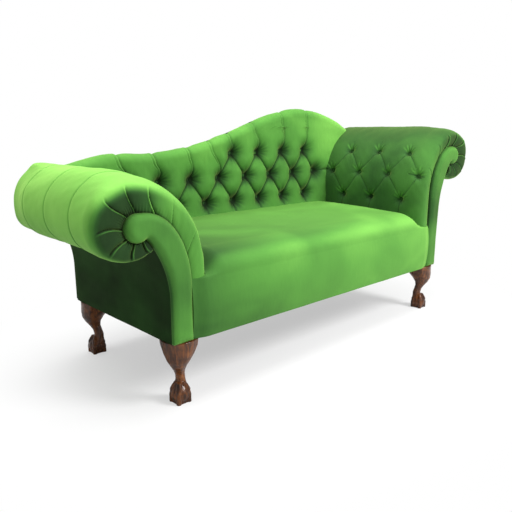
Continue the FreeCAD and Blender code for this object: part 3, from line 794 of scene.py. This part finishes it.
    # Short gathers that fan out from each button, most of them upwards
    chance = random.Random(101 + side)
    streaks_and_highlights = []
    for spot, y in buttons:
        for heading in (70, 98, 122, 150, 42, 200, -20, -70, -110):
            bearing = math.radians(heading + chance.uniform(-9, 9))
            upwards = 30 < heading < 160
            reach = chance.uniform(0.032, 0.052) * (1.0 if upwards else 0.6)
            tip = (spot + reach * math.sin(bearing), y + side * reach * math.cos(bearing))
            folds.append((gather((spot, y), tip, (0.015, 0.0085, 0.0002)), 0.0065, 0.0150, 0.8))
            # Beside each upward gather lies a painted highlight line
            if upwards:
                streaks_and_highlights.append(([((spot * 3 + tip[0]) / 4 + 0.002, (y * 3 + tip[1]) / 4 + 0.003, 0.8),
                                 (tip[0] + 0.002, tip[1] + 0.005, 0.05)], 0, 0, 0))
    pleat_lines, ridge_lines = [], []
    for outer_turn, inner_turn in pleats:
        outer_column = int(np.argmin(abs(turn - outer_turn)))
        inner_column = int(np.argmin(abs(turn - inner_turn)))
        start = (lengths[outer_column], second[rim_row + 3, outer_column])
        end = (lengths[inner_column], second[1, inner_column])
        strength = 1.0 if outer_turn < 115 else 0.45
        bend = (0.012 if outer_turn > 0 else -0.010) * strength
        middle = ((start[0] + end[0]) / 2 + bend, (start[1] + end[1]) / 2)
        tail = (start[0] - bend, start[1] + 0.012)
        pleat_lines.append((rounded([(*tail, 0.0002), (*start, 0.0060 * strength), (*middle, 0.0080 * strength),
                                     (*end, 0.0100 * strength)]), 0.0060, 0.026, 0.62))
        lip = strength ** 2.5
        ridge_lines.append(rounded([(tail[0] + 0.004, tail[1], 0.0001), (start[0] + 0.005, start[1], 0.0022 * lip),
                                    (middle[0] + 0.006, middle[1], 0.0030 * lip),
                                    (end[0] + 0.007, end[1], 0.0026 * lip)]))
        rear_end = second[-2, outer_column]
        pleat_lines.append(([(start[0], rear_end, 0.0080), (start[0], rear_end - 0.060, 0.0004)],
                            0.0060, 0.022, 0.62))
    depth = fold_depth(first, second, folds + pleat_lines)
    ridges = fold_depth(first, second, [(line, 0.0052, 0.0052, 1.4) for line in ridge_lines])
    pits = tuft_pits(first, second, buttons, arm_tuft_depth, 0.006, 0.0125, 1.2, 11 + side, 10, 0.0014, 0.030)
    depth = merged(depth, pits)
    above_wall = 0.2 + 0.8 * smooth_step(round_roll, -125, -95)
    near_eye = smooth_step(face_share, 0.62, 0.98) * (second < 0) * above_wall
    depth = depth + 0.0010 * near_eye * np.sin(first * 2 * math.pi / 0.0135 + 2.0 * waves(first, second, 8, 0.1))
    depth = depth + 0.0013 * waves(first, second, 21 + side, 0.24) - ridges
    normal = surface_normals(skin)
    centre = np.array([side * (half_length + roll_out), 0.0, roll_z])
    normal = normal * np.sign(np.sum((skin[120, top_column] - centre) * normal[120, top_column]))
    station = np.arange(len(skin))
    held = smooth_step(station, 0, 3) * smooth_step(len(skin) - 1 - station, 0, 3)
    skin = skin - normal * (depth * held[:, None])[:, :, None]

    # Painted light and shade: bright over the low roll, dark inside the high arm and under the low roll, darkest on
    # the gathered ends; painted shade in the folds, pleats and pits, and painted highlights beside the gathers and
    # on the pleats' ridges
    fold_shade = painted_line_mask(first, second, folds, 0.0042, 0.0050)
    pleat_shade = painted_line_mask(first, second, pleat_lines, 0.0055, 0.0070)
    if side < 0:
        painted_shading = 0.05 + 0.42 * smooth_step(round_roll, -150, -95) + np.zeros(first.shape)
        painted_shading = painted_shading - 0.45 * smooth_step(round_roll, -5, 50)
    else:
        painted_shading = -0.42 + 0.30 * smooth_step(round_roll, -70, -10) + 0.20 * smooth_step(-second, 0.10, 0.26)
        painted_shading = painted_shading - 0.30 * smooth_step(round_roll, -145, -100) * (1 - smooth_step(round_roll, -80, -50))
    behind_rim = np.where(second > starts[None, :], second - starts[None, :], 0)
    begin = 0.55 - 0.85 * smooth_step(round_roll, -80.0, 10.0)
    from_rim = np.clip((face_share / 0.30 - behind_rim / 0.05 - begin) / 1.2, 0, 1)
    on_face = from_rim ** 2 * (3 - 2 * from_rim) * smooth_step(round_roll, -132, -84)
    painted_shading = painted_shading * (1 - on_face) - 0.90 * on_face
    painted_shading = painted_shading + 0.90 * painted_line_mask(first, second, streaks_and_highlights, 0.0100, 1.0)
    painted_shading = painted_shading - (0.50 if side < 0 else 0.38) * fold_shade - 0.45 * pleat_shade
    painted_shading = painted_shading - 0.35 * np.clip(pits / arm_tuft_depth, 0, 1)
    painted_shading = painted_shading + 0.85 * np.clip(ridges / 0.0030, 0, 1) ** 1.2 - 0.5 * smooth_step(face_share, 0.86, 1.0)
    lining = scroll_line(rise, lining_inset, wall_points)[::12][::-1]
    rings = []
    for row in range(len(skin)):
        inner_y = float(np.clip(np.mean(skin[row, :, 1]), board_front + 0.0005, pad_rear - 0.0015))
        inner = np.stack([side * (half_length + lining[:, 0]), np.full(len(lining), inner_y), lining[:, 1]], axis=1)
        rings.append(np.concatenate([skin[row], inner]))
    painted_shading = np.concatenate([painted_shading, np.zeros((len(skin), len(lining)))], axis=1)
    arm = rows_to_mesh("arm_cover_" + arm_name, np.array(rings), velvet, painted_shading)
    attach(arm, "root")
    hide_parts("arm_pad_" + arm_name)
    for spot, y in buttons:
        nearest = np.unravel_index(int(np.argmin(np.hypot(first - spot, second - y))), first.shape)
        button_seats[arm_name].append((Vector(skin[nearest]), Vector(normal[nearest])))


# Back: one deep-buttoned pad over webbing, pulled over the serpentine crest rail in lapped
# pleats and tacked behind it. Its ends push against the two arms.
crest_points = [
    # place along the couch, height
    (-0.775, 0.700), (-0.600, 0.735), (-0.420, 0.734), (-0.226, 0.756), (-0.009, 0.812), (0.201, 0.880),
    (0.400, 0.915), (0.590, 0.893), (0.700, 0.858), (0.790, 0.815),
]
back_face = 0.238
back_columns, face_rows, cap_rows = 640, 170, 50
back_foot = 0.400
cap_height = 0.040
pad_inner = 0.2895
below_crest = 0.0240
back_tuft_depth = 0.036


def natural_curve(points, where):
    # Smooth curve through the points, each slope taken from its neighbours
    px = np.array([point[0] for point in points])
    pz = np.array([point[1] for point in points])
    slope = np.gradient(pz, px)
    where = np.clip(where, px[0], px[-1])
    index = np.clip(np.searchsorted(px, where) - 1, 0, len(px) - 2)
    span = px[index + 1] - px[index]
    t = (where - px[index]) / span
    return ((2 * t ** 3 - 3 * t ** 2 + 1) * pz[index] + (t ** 3 - 2 * t ** 2 + t) * span * slope[index]
            + (3 * t ** 2 - 2 * t ** 3) * pz[index + 1] + (t ** 3 - t ** 2) * span * slope[index + 1])


def arm_surface(side, z):
    # How far out the inner surface of the arm lies at a height
    roll_z, straight = arm_kinds["left" if side < 0 else "right"][1:3]
    lift = np.clip((z - straight) / (roll_z + roll_radius - straight), 0, 0.999)
    return half_length + roll_out - (roll_out + arm_inner) * np.sqrt(1 - lift ** 2)


share = np.linspace(0, 1, back_columns)[:, None]
rise_share = np.linspace(0, 1, face_rows)[None, :]
x = np.broadcast_to(share * 1.4 - 0.7, (back_columns, face_rows)).copy()
tucked = 0.008 + 0.050 * smooth_step(rise_share, 0.6, 1.0)
for _ in range(24):
    z = back_foot + rise_share * (natural_curve(crest_points, x) - cap_height - back_foot)
    left = -arm_surface(-1, z) - tucked
    right = arm_surface(1, z) + tucked
    x = 0.6 * x + 0.4 * (left + share * (right - left))
lean = 0.016 * np.clip((z - 0.46) / 0.45, 0, 1)
face = np.stack([x, back_face + lean, z], axis=2)
turn = np.linspace(0, math.pi, cap_rows + 1)[None, 1:]
top_x = face[:, -1:, 0]
top_y = face[:, -1:, 1]
top_z = face[:, -1:, 2]
half_thick = (pad_rear - top_y) / 2
cap_y = top_y + half_thick * (1 - np.cos(turn))
cap_z = top_z + cap_height * np.sin(turn) ** 0.85
cap = np.stack([np.broadcast_to(top_x, cap_y.shape), cap_y, cap_z], axis=2)
skin = np.concatenate([face, cap], axis=1)
first = skin[:, :, 0].copy()
over = run_lengths(cap[back_columns // 2]) + 0.002
second = skin[:, :, 2].copy()
second[:, face_rows:] = face[:, -1:, 2] + over[None, :]
back_pitch = 0.1515
first_column = 0.145
row_heights = [0.518, 0.621, 0.722]
row_columns = [range(-4, 3), range(-5, 3), range(-1, 3)]
button_rows = []
for row, columns_in_row in enumerate(row_columns):
    offset = back_pitch / 2 if row % 2 else 0.0
    button_rows.append([(first_column + column * back_pitch + offset, row_heights[row])
                        for column in columns_in_row])
folds = []
for lower, upper in zip(button_rows, button_rows[1:]):
    for a in lower:
        for b in upper:
            if abs(abs(a[0] - b[0]) - back_pitch / 2) < 0.01:
                folds.append((sagging(a, b, 0.032, 0.032, 0.0175, bow=0.06), 0.052, 0.058, 0.74))
for spot, height in button_rows[0]:
    folds.append(([(spot, height, 0.030), (spot, height - 0.025, 0.016), (spot + 0.002, 0.47, 0.011),
                   (spot + 0.002, back_foot, 0.010)], 0.042, 0.048, 0.62))
# Button's place and height, and where its fold meets the crest
top_folds = [(-0.536, 0.621, -0.559), (-0.385, 0.621, -0.404), (-0.234, 0.621, -0.240), (-0.082, 0.621, -0.128),
             (-0.0065, 0.722, -0.024), (0.145, 0.722, 0.115), (0.2965, 0.722, 0.294), (0.448, 0.722, 0.461)]
for spot, height, crest_x in top_folds:
    crest_z = float(natural_curve(crest_points, np.array([crest_x]))[0])
    line = [(spot, height, 0.031), (spot + 0.009, height + 0.025, 0.022),
            (spot + 0.45 * (crest_x - spot) + 0.010, height + 0.45 * (crest_z - height), 0.0140),
            (crest_x, crest_z - 0.04, 0.0110), (crest_x - 0.002, crest_z + 0.03, 0.0085),
            (crest_x - 0.002, crest_z + 0.10, 0.0050)]
    folds.append((rounded(line), 0.013, 0.052, 0.72))
    # A second, smaller lap lies beside each fold
    beside = [(a - 0.010 - 0.003 * index, b, (0.0004, 0.0064, 0.0044, 0.0002)[index])
              for index, (a, b, _) in enumerate(line[1:5])]
    folds.append((rounded(beside), 0.009, 0.011, 0.8))
# The middle row's outermost buttons pull one fold each into the arm beside them
right_x, middle_z = button_rows[1][-1]
folds.append(([(right_x, middle_z, 0.030), (right_x + 0.03, middle_z + 0.002, 0.014),
               (0.68, middle_z + 0.01, 0.008)], 0.030, 0.034, 0.62))
left_x = button_rows[1][0][0]
folds.append(([(left_x, middle_z, 0.030), (left_x - 0.03, middle_z + 0.004, 0.013),
               (-0.72, middle_z + 0.02, 0.007)], 0.030, 0.034, 0.62))
buttons = [spot for row in button_rows for spot in row]
back_folds = list(folds)
chance = random.Random(77)
for spot, height in buttons:
    # Gathers of loose velvet that run out from each button
    for heading in (12, 38, 63, 90, 118, 143, 168, 205, 232, 262, 290, 322, 345):
        bearing = math.radians(heading + chance.uniform(-8, 8))
        reach = chance.uniform(0.040, 0.062)
        tip = (spot + reach * math.cos(bearing), height + reach * math.sin(bearing))
        folds.append((gather((spot, height), tip, (0.026, 0.0125, 0.0005)), 0.0065, 0.0120, 0.75))
depth = fold_depth(first, second, folds)
pits = tuft_pits(first, second, buttons, back_tuft_depth, 0.010, 0.025, 1.3, 5, 8, 0.0012, 0.045)
depth = merged(depth, pits)
depth = depth + 0.0016 * waves(first, second, 9, 0.2)
normal = surface_normals(skin)
if normal[250, 40, 1] > 0:
    normal = -normal
fold_shade = painted_line_mask(first, second, back_folds, 0.0125, 0.0300)
# A painted highlight line lies beside each gather
streaks_and_highlights = []
for line, *_ in folds[len(back_folds):]:
    (a0, b0, _), _, (a1, b1, _) = line
    streaks_and_highlights.append(([(a0 + 0.30 * (a1 - a0) + 0.003, b0 + 0.30 * (b1 - b0) + 0.003, 0.8),
                     (a1 + 0.003, b1 + 0.003, 0.05)], 0, 0, 0))
# Painted light and shade: a little lighter high up and at the upper right, painted shade in the folds and the
# button pits, and painted highlights beside the gathers
painted_shading = -0.04 + 0.08 * smooth_step(second, 0.66, 0.80) - 0.62 * fold_shade
painted_shading = painted_shading - 1.10 * np.clip(pits / back_tuft_depth, 0, 1) ** 1.1
painted_shading = painted_shading + 0.42 * painted_line_mask(first, second, streaks_and_highlights, 0.0075, 1.0)
painted_shading = painted_shading + 0.22 * smooth_step(first, 0.45, 0.62) * smooth_step(second, 0.60, 0.75)
fade = 1 - smooth_step(np.arange(face_rows + cap_rows), face_rows + cap_rows - 6, face_rows + cap_rows - 1)
skin = skin - normal * (depth * fade[None, :])[:, :, None]
crest_z = natural_curve(crest_points, skin[:, -1, 0])
rings = []
for column in range(back_columns):
    end_x = skin[column, -1, 0]
    foot_x = skin[column, 0, 0]
    hidden = np.array([
        [end_x, pad_rear, crest_z[column] - below_crest], [end_x, pad_inner, crest_z[column] - below_crest],
        [foot_x, pad_inner, seat_foot], [foot_x, back_face + 0.001, seat_foot]])
    rings.append(np.concatenate([skin[column], hidden]))
painted_shading = np.concatenate([painted_shading, np.zeros((back_columns, 4))], axis=1)
back = rows_to_mesh("back_cover", np.array(rings), velvet, painted_shading)
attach(back, "root")
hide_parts("back_pad")
button_seats["back"] = []
for spot, height in buttons:
    distance = np.hypot(skin[:, :face_rows, 0] - spot, skin[:, :face_rows, 2] - height)
    column, row = np.unravel_index(int(np.argmin(distance)), distance.shape)
    button_seats["back"].append((Vector(skin[column, row]), Vector((0, -1, 0))))


# Covered buttons: a domed metal shell under the same velvet, tied down through the pads with
# twine so that each lies at the bottom of its tuft.
button_radius = 0.0105
bpy.ops.mesh.primitive_uv_sphere_add(segments=24, ring_count=12, radius=button_radius)
pattern = bpy.context.object
edit_everything()
bpy.ops.transform.resize(value=(1, 1, 0.42))
bpy.ops.mesh.bisect(plane_co=(0, 0, -0.0012), plane_no=(0, 0, 1), clear_inner=True, use_fill=True)
bpy.ops.object.mode_set(mode="OBJECT")
bpy.ops.object.shade_smooth_by_angle(angle=math.radians(50))
pattern.data.materials.append(velvet)
# The buttons get painted shade, dark like the pits they sit in
paint_shading(pattern, np.full(len(pattern.data.vertices), -0.60))
for group, node in (("back", "back_buttons"), ("left", "arm_buttons_left"), ("right", "arm_buttons_right")):
    bpy.ops.object.select_all(action="DESELECT")
    copies = []
    for seat_point, direction in button_seats[group]:
        copy = pattern.copy()
        copy.data = pattern.data.copy()
        bpy.context.collection.objects.link(copy)
        turn = Vector((0, 0, 1)).rotation_difference(direction).to_matrix().to_4x4()
        copy.data.transform(Matrix.Translation(seat_point + direction * 0.0005) @ turn)
        copies.append(copy)
        copy.select_set(True)
    bpy.context.view_layer.objects.active = copies[0]
    bpy.ops.object.join()
    covered = bpy.context.object
    covered.name = "covered_" + node
    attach(covered, "root")
    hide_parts(node)
bpy.data.objects.remove(pattern)


# Facings: plywood scrolls padded with thin foam and covered in velvet, pinned over the raw edges
# on the front of each arm.
def scroll_outline(rise, inset=0.0):
    # The whole outline of the scroll board, as (distance outboard of the base, height)
    eye_z = eye_height + rise
    start_z = eye_height + eye_radius - curl_height + rise
    inner = inset - facing_width
    radius = eye_radius - inset
    flare_z = 0.340 + rise
    notch_out = eye_out + radius * math.cos(eye_notch)
    notch_z = eye_z + radius * math.sin(eye_notch)
    flare = ((notch_out + inset) ** 2 + (notch_z - flare_z) ** 2) / (2 * (notch_out + inset))
    swing = math.asin((notch_z - flare_z) / flare)
    wall = [(inner, leg_height), (inner, start_z)]
    curl = [(curl_out - (curl_out - inner) * math.cos(t), start_z + (curl_height - inset) * math.sin(t))
            for t in np.linspace(0, math.pi / 2, 30)[1:]]
    eye = [(eye_out + radius * math.cos(t), eye_z + radius * math.sin(t))
           for t in np.linspace(math.pi / 2, eye_notch, 40)]
    under = [(flare - inset + flare * math.cos(t), flare_z + flare * math.sin(t))
             for t in np.linspace(math.pi - swing, math.pi, 24)[1:]]
    return np.array(wall + curl + eye + under + [(-inset, leg_height)])


def edge_distance(points, outline):
    # Distance of each point from the nearest edge of the outline
    ends = np.roll(outline, -1, axis=0)
    best = np.full(len(points), 1e9)
    for start, end in zip(outline, ends):
        run = end - start
        length = float(run @ run)
        if length < 1e-12:
            continue
        t = np.clip(((points - start) @ run) / length, 0, 1)
        best = np.minimum(best, np.linalg.norm(points - (start + t[:, None] * run), axis=1))
    return best


def inside_outline(points, outline):
    ends = np.roll(outline, -1, axis=0)
    crossing = np.zeros(len(points), bool)
    for (x0, z0), (x1, z1) in zip(outline, ends):
        spans = (z0 > points[:, 1]) != (z1 > points[:, 1])
        if abs(z1 - z0) < 1e-12:
            continue
        reach = (x1 - x0) * (points[:, 1] - z0) / (z1 - z0) + x0
        crossing ^= spans & (points[:, 0] < reach)
    return crossing


def padded_panel(name, outline, spacing, seen_y, board_y, crown, finish, painted_shading=None):
    # A flat panel whose seen face is crowned by crown(points, distance from the edge)
    ring = resample(np.vstack([outline, outline[:1]]), int(run_lengths(outline)[-1] / spacing))[:-1]
    low, high = outline.min(axis=0), outline.max(axis=0)
    gx, gz = np.meshgrid(np.arange(low[0], high[0], spacing), np.arange(low[1], high[1], spacing * 0.866))
    gx = gx + (np.arange(gx.shape[0]) % 2)[:, None] * spacing / 2
    cloud = np.stack([gx.ravel(), gz.ravel()], axis=1)
    cloud = cloud[inside_outline(cloud, outline)]
    cloud = cloud[edge_distance(cloud, ring) > spacing * 0.6]
    points = np.vstack([ring, cloud])
    edges = [(index, (index + 1) % len(ring)) for index in range(len(ring))]
    found, _, triangles, _, _, _ = delaunay_2d_cdt([Vector(point) for point in points], edges,
                                                   [list(range(len(ring)))], 1, 1e-6)
    flat = np.array([[point.x, point.y] for point in found])
    distance = edge_distance(flat, ring)
    distance[:len(ring)] = 0
    heading = math.copysign(1.0, seen_y - board_y)
    y = seen_y + heading * crown(flat, distance)
    seen = np.stack([flat[:, 0], y, flat[:, 1]], axis=1)
    hidden = np.stack([flat[:, 0], np.full(len(flat), board_y), flat[:, 1]], axis=1)
    count = len(flat)
    faces = [tuple(face) for face in triangles]
    faces += [tuple(corner + count for corner in reversed(face)) for face in triangles]
    for start, end in edges:
        faces.append((start, end, end + count, start + count))
    painted_shading_source = None if painted_shading is None else np.tile(painted_shading(flat, distance), 2)
    return finished_piece(name, np.vstack([seen, hidden]), faces, finish, painted_shading_source, 65)


for arm_name, (side, _, _, rise) in arm_kinds.items():
    outline = scroll_outline(rise)
    placed = np.stack([side * (half_length + outline[:, 0]), outline[:, 1]], axis=1)

    def facing_crown(points, distance, rise=rise):
        # Thin at the foot, fuller towards the scroll
        fullness = 0.0095 + 0.0080 * smooth_step(points[:, 1], 0.30, 0.52 + rise * 0.7)
        roundness = 1 - (1 - np.clip(distance / 0.024, 0, 1)) ** 2.6
        return fullness * roundness + 0.0005 * waves(points[:, 0], points[:, 1], 31, 0.15) * roundness

    def facing_painted_shading(points, distance, rise=rise):
        # Painted light and shade: lighter round the scroll and at the foot than half way down, the high arm's
        # darker below the scroll, and painted shade along the edge
        below_scroll = 0.20 if rise > 0 else 0.0
        level = -0.12 - below_scroll * smooth_step(-points[:, 1], -0.76, -0.60)
        level = level - 0.22 * np.exp(-((points[:, 1] - 0.36 - rise * 0.6) / 0.07) ** 2)
        return level - 0.25 * np.clip(1 - distance / 0.004, 0, 1)

    facing = padded_panel("facing_cover_" + arm_name, placed, 0.0040, front_y + 0.004, board_front - 0.0002,
                          facing_crown, velvet, facing_painted_shading)
    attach(facing, "root")
    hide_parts("arm_facing_" + arm_name)


# Outside arms and outside back: velvet over a thin layer of wadding, pulled flat, turned in at
# the edges and slip-stitched to the arm and back covers.
# The outside arms' covers carry painted shade: a darker copy of the velvet
velvet_painted_dark = make_velvet("green_velvet_outside_painted_shade", 0.95)
for arm_name, (side, _, _, rise) in arm_kinds.items():
    outline = scroll_outline(rise)
    eye_z = eye_height + rise
    notch_index = int(np.argmin(np.hypot(outline[:, 0] - (eye_out + eye_radius * math.cos(eye_notch)),
                                         outline[:, 1] - (eye_z + eye_radius * math.sin(eye_notch)))))
    climb = resample(outline[notch_index:][::-1], 96)
    slope = np.gradient(climb, axis=0)
    slope /= np.linalg.norm(slope, axis=1, keepdims=True)
    outboard = np.stack([slope[:, 1], -slope[:, 0]], axis=1)
    deep = np.linspace(board_front + 0.0005, pad_rear - 0.0002, 104)
    rings = []
    for y in deep:
        near_end = min(y - deep[0], deep[-1] - y)
        soft = 0.0016 * (1 - math.exp(-near_end / 0.010))
        bulge = soft + 0.0014 * waves(climb[:, 1], np.full(len(climb), y), 41 + side, 0.3) * soft / 0.0016
        outer = climb + outboard * (bulge - 0.0002)[:, None]
        inner = climb - outboard * 0.0038
        loop = np.concatenate([outer, inner[::-1]])
        rings.append(np.stack([side * (half_length + loop[:, 0]), np.full(len(loop), y), loop[:, 1]], axis=1))
    panel = rows_to_mesh("outside_arm_cover_" + arm_name, np.array(rings), velvet_painted_dark)
    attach(panel, "root")
    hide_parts("outside_arm_panel_" + arm_name)


def back_outline():
    # Up the high arm's scroll, along the crest and down the low arm's scroll
    eye_top = 31
    sides = {}
    for arm_name, (side, _, _, rise) in arm_kinds.items():
        scroll = scroll_outline(rise)[eye_top:]
        sides[arm_name] = np.stack([side * (half_length + scroll[:, 0]), scroll[:, 1]], axis=1)
    crest_x = np.linspace(0.775, -0.765, 120)
    crest = np.stack([crest_x, natural_curve(crest_points, crest_x) - 0.010], axis=1)
    return np.vstack([sides["right"][::-1], crest, sides["left"]])


def back_crown(points, distance):
    roundness = 1 - (1 - np.clip(distance / 0.012, 0, 1)) ** 2
    return (0.0025 + 0.0012 * waves(points[:, 0], points[:, 1], 51, 0.4)) * roundness


# The outside back gets less painted shade than the outside arms
outside_back = padded_panel("outside_back_cover", back_outline(), 0.010, rear_y - 0.001, pad_rear + 0.0007,
                            back_crown, make_velvet("green_velvet_back_painted_shade", 0.55))
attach(outside_back, "root")
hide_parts("outside_back_panel")


# Dust cover: black spun cloth tacked under the rails all round, which hides the springs and
# keeps the filling's dust in.
dust_cloth, tree, shader, place = new_finish("dust_cloth")
fibres = grain(tree, place, 320.0, 4.0, 0.7)
tree.links.new(tones(tree, fibres, [(0.3, linear(16, 16, 17)), (0.7, linear(40, 40, 42))]),
               shader.inputs["Base Color"])
settle(shader, Roughness=0.95)
relief(tree, shader, fibres, 0.0003, 0.5)
finish_nodes(dust_cloth, "dust_cover")


# Studio: a white floor that runs into a white background and keeps the couch's soft shadow, a
# large soft lamp above and to the front right, and a little light from all round.
def seen_directly(tree):
    # 1 for what the eye itself sees, also through glass, and 0 for light that is thrown back
    path = tree.nodes.new("ShaderNodeLightPath")
    return combine(tree, "MAXIMUM", path.outputs["Is Camera Ray"], path.outputs["Is Transmission Ray"])


def mix_shaders(tree, share, first, second, output):
    choose = tree.nodes.new("ShaderNodeMixShader")
    for socket, value in zip(choose.inputs, (share, first, second)):
        tree.links.new(value, socket)
    tree.links.new(choose.outputs["Shader"], output.inputs["Surface"])


floor_size = 40.0
bpy.ops.mesh.primitive_plane_add(size=floor_size, location=(0, 0, 0))
floor = bpy.context.object
floor.name = "studio_floor"
white_floor, tree, shader, place = new_finish("white_floor")
patches = grain(tree, place, 0.7, 2.0, 0.5)
tree.links.new(tones(tree, patches, [(0.3, linear(222, 222, 222)), (0.7, linear(226, 226, 226))]),
               shader.inputs["Base Color"])
settle(shader, Roughness=0.9, Specular_IOR_Level=0.0)
lit = tree.nodes.new("ShaderNodeEmission")
settle(lit, Color=(1, 1, 1, 1), Strength=1.0)
distance = tree.nodes.new("ShaderNodeVectorMath")
distance.operation = "LENGTH"
tree.links.new(stretched(tree, place, (0.8, 1.0, 1.0)), distance.inputs[0])
whiter = tree.nodes.new("ShaderNodeMapRange")
settle(whiter, From_Min=0.50, From_Max=1.08, To_Min=0.48, To_Max=1.0)
whiter.interpolation_type = "SMOOTHSTEP"
tree.links.new(distance.outputs["Value"], whiter.inputs["Value"])
share = combine(tree, "MULTIPLY", seen_directly(tree), whiter.outputs["Result"])
mix_shaders(tree, share, shader.outputs["BSDF"], lit.outputs["Emission"], tree.nodes["Material Output"])
floor.data.materials.append(white_floor)

world = bpy.context.scene.world or bpy.data.worlds.new("studio")
bpy.context.scene.world = world
world.use_nodes = True
tree = world.node_tree
background = tree.nodes["Background"]
settle(background, Color=(1, 1, 1, 1), Strength=0.65)
backdrop = tree.nodes.new("ShaderNodeBackground")
settle(backdrop, Color=(1, 1, 1, 1), Strength=1.0)
mix_shaders(tree, seen_directly(tree), background.outputs["Background"], backdrop.outputs["Background"],
            tree.nodes["World Output"])


def soft_lamp(name, place, target, size, power):
    lamp = bpy.data.lights.new(name, "AREA")
    lamp.shape = "DISK"
    lamp.size = size
    lamp.energy = power
    holder = bpy.data.objects.new(name, lamp)
    bpy.context.collection.objects.link(holder)
    holder.location = place
    holder.rotation_euler = (Vector(target) - Vector(place)).to_track_quat("-Z", "Y").to_euler()


lit_spot = (0.0, 0.0, 0.4)
soft_lamp("key_lamp", (1.1, -2.6, 2.5), lit_spot, 1.3, 140.0)
soft_lamp("top_lamp", (-0.3, 0.1, 3.1), lit_spot, 2.6, 112.0)


# Camera: 0.82 m up, 43 degrees round to the left of the front and looking 13 degrees down, as
# solved from the photograph.
sensor_width = 36.0
focal_share = 552.1 / 512.0
camera_data = bpy.data.cameras.new("studio_camera")
camera_data.sensor_width = sensor_width
camera_data.lens = focal_share * sensor_width
camera = bpy.data.objects.new("studio_camera", camera_data)
bpy.context.collection.objects.link(camera)
camera_spot = Vector((-1.5791, -1.5774, 0.820))
pitch, yaw, roll = math.radians(12.888), math.radians(42.824), math.radians(0.208)
ahead = Vector((math.sin(yaw), math.cos(yaw), 0.0))
forward = ahead * math.cos(pitch) - Vector((0, 0, math.sin(pitch)))
level = Vector((math.cos(yaw), -math.sin(yaw), 0.0))
down = -ahead * math.sin(pitch) - Vector((0, 0, math.cos(pitch)))
right = level * math.cos(roll) + down * math.sin(roll)
below = down * math.cos(roll) - level * math.sin(roll)
placing = Matrix((right, -below, -forward)).transposed().to_4x4()
placing.translation = camera_spot
camera.matrix_world = placing
bpy.context.scene.camera = camera
bpy.context.scene.view_settings.view_transform = "Standard"
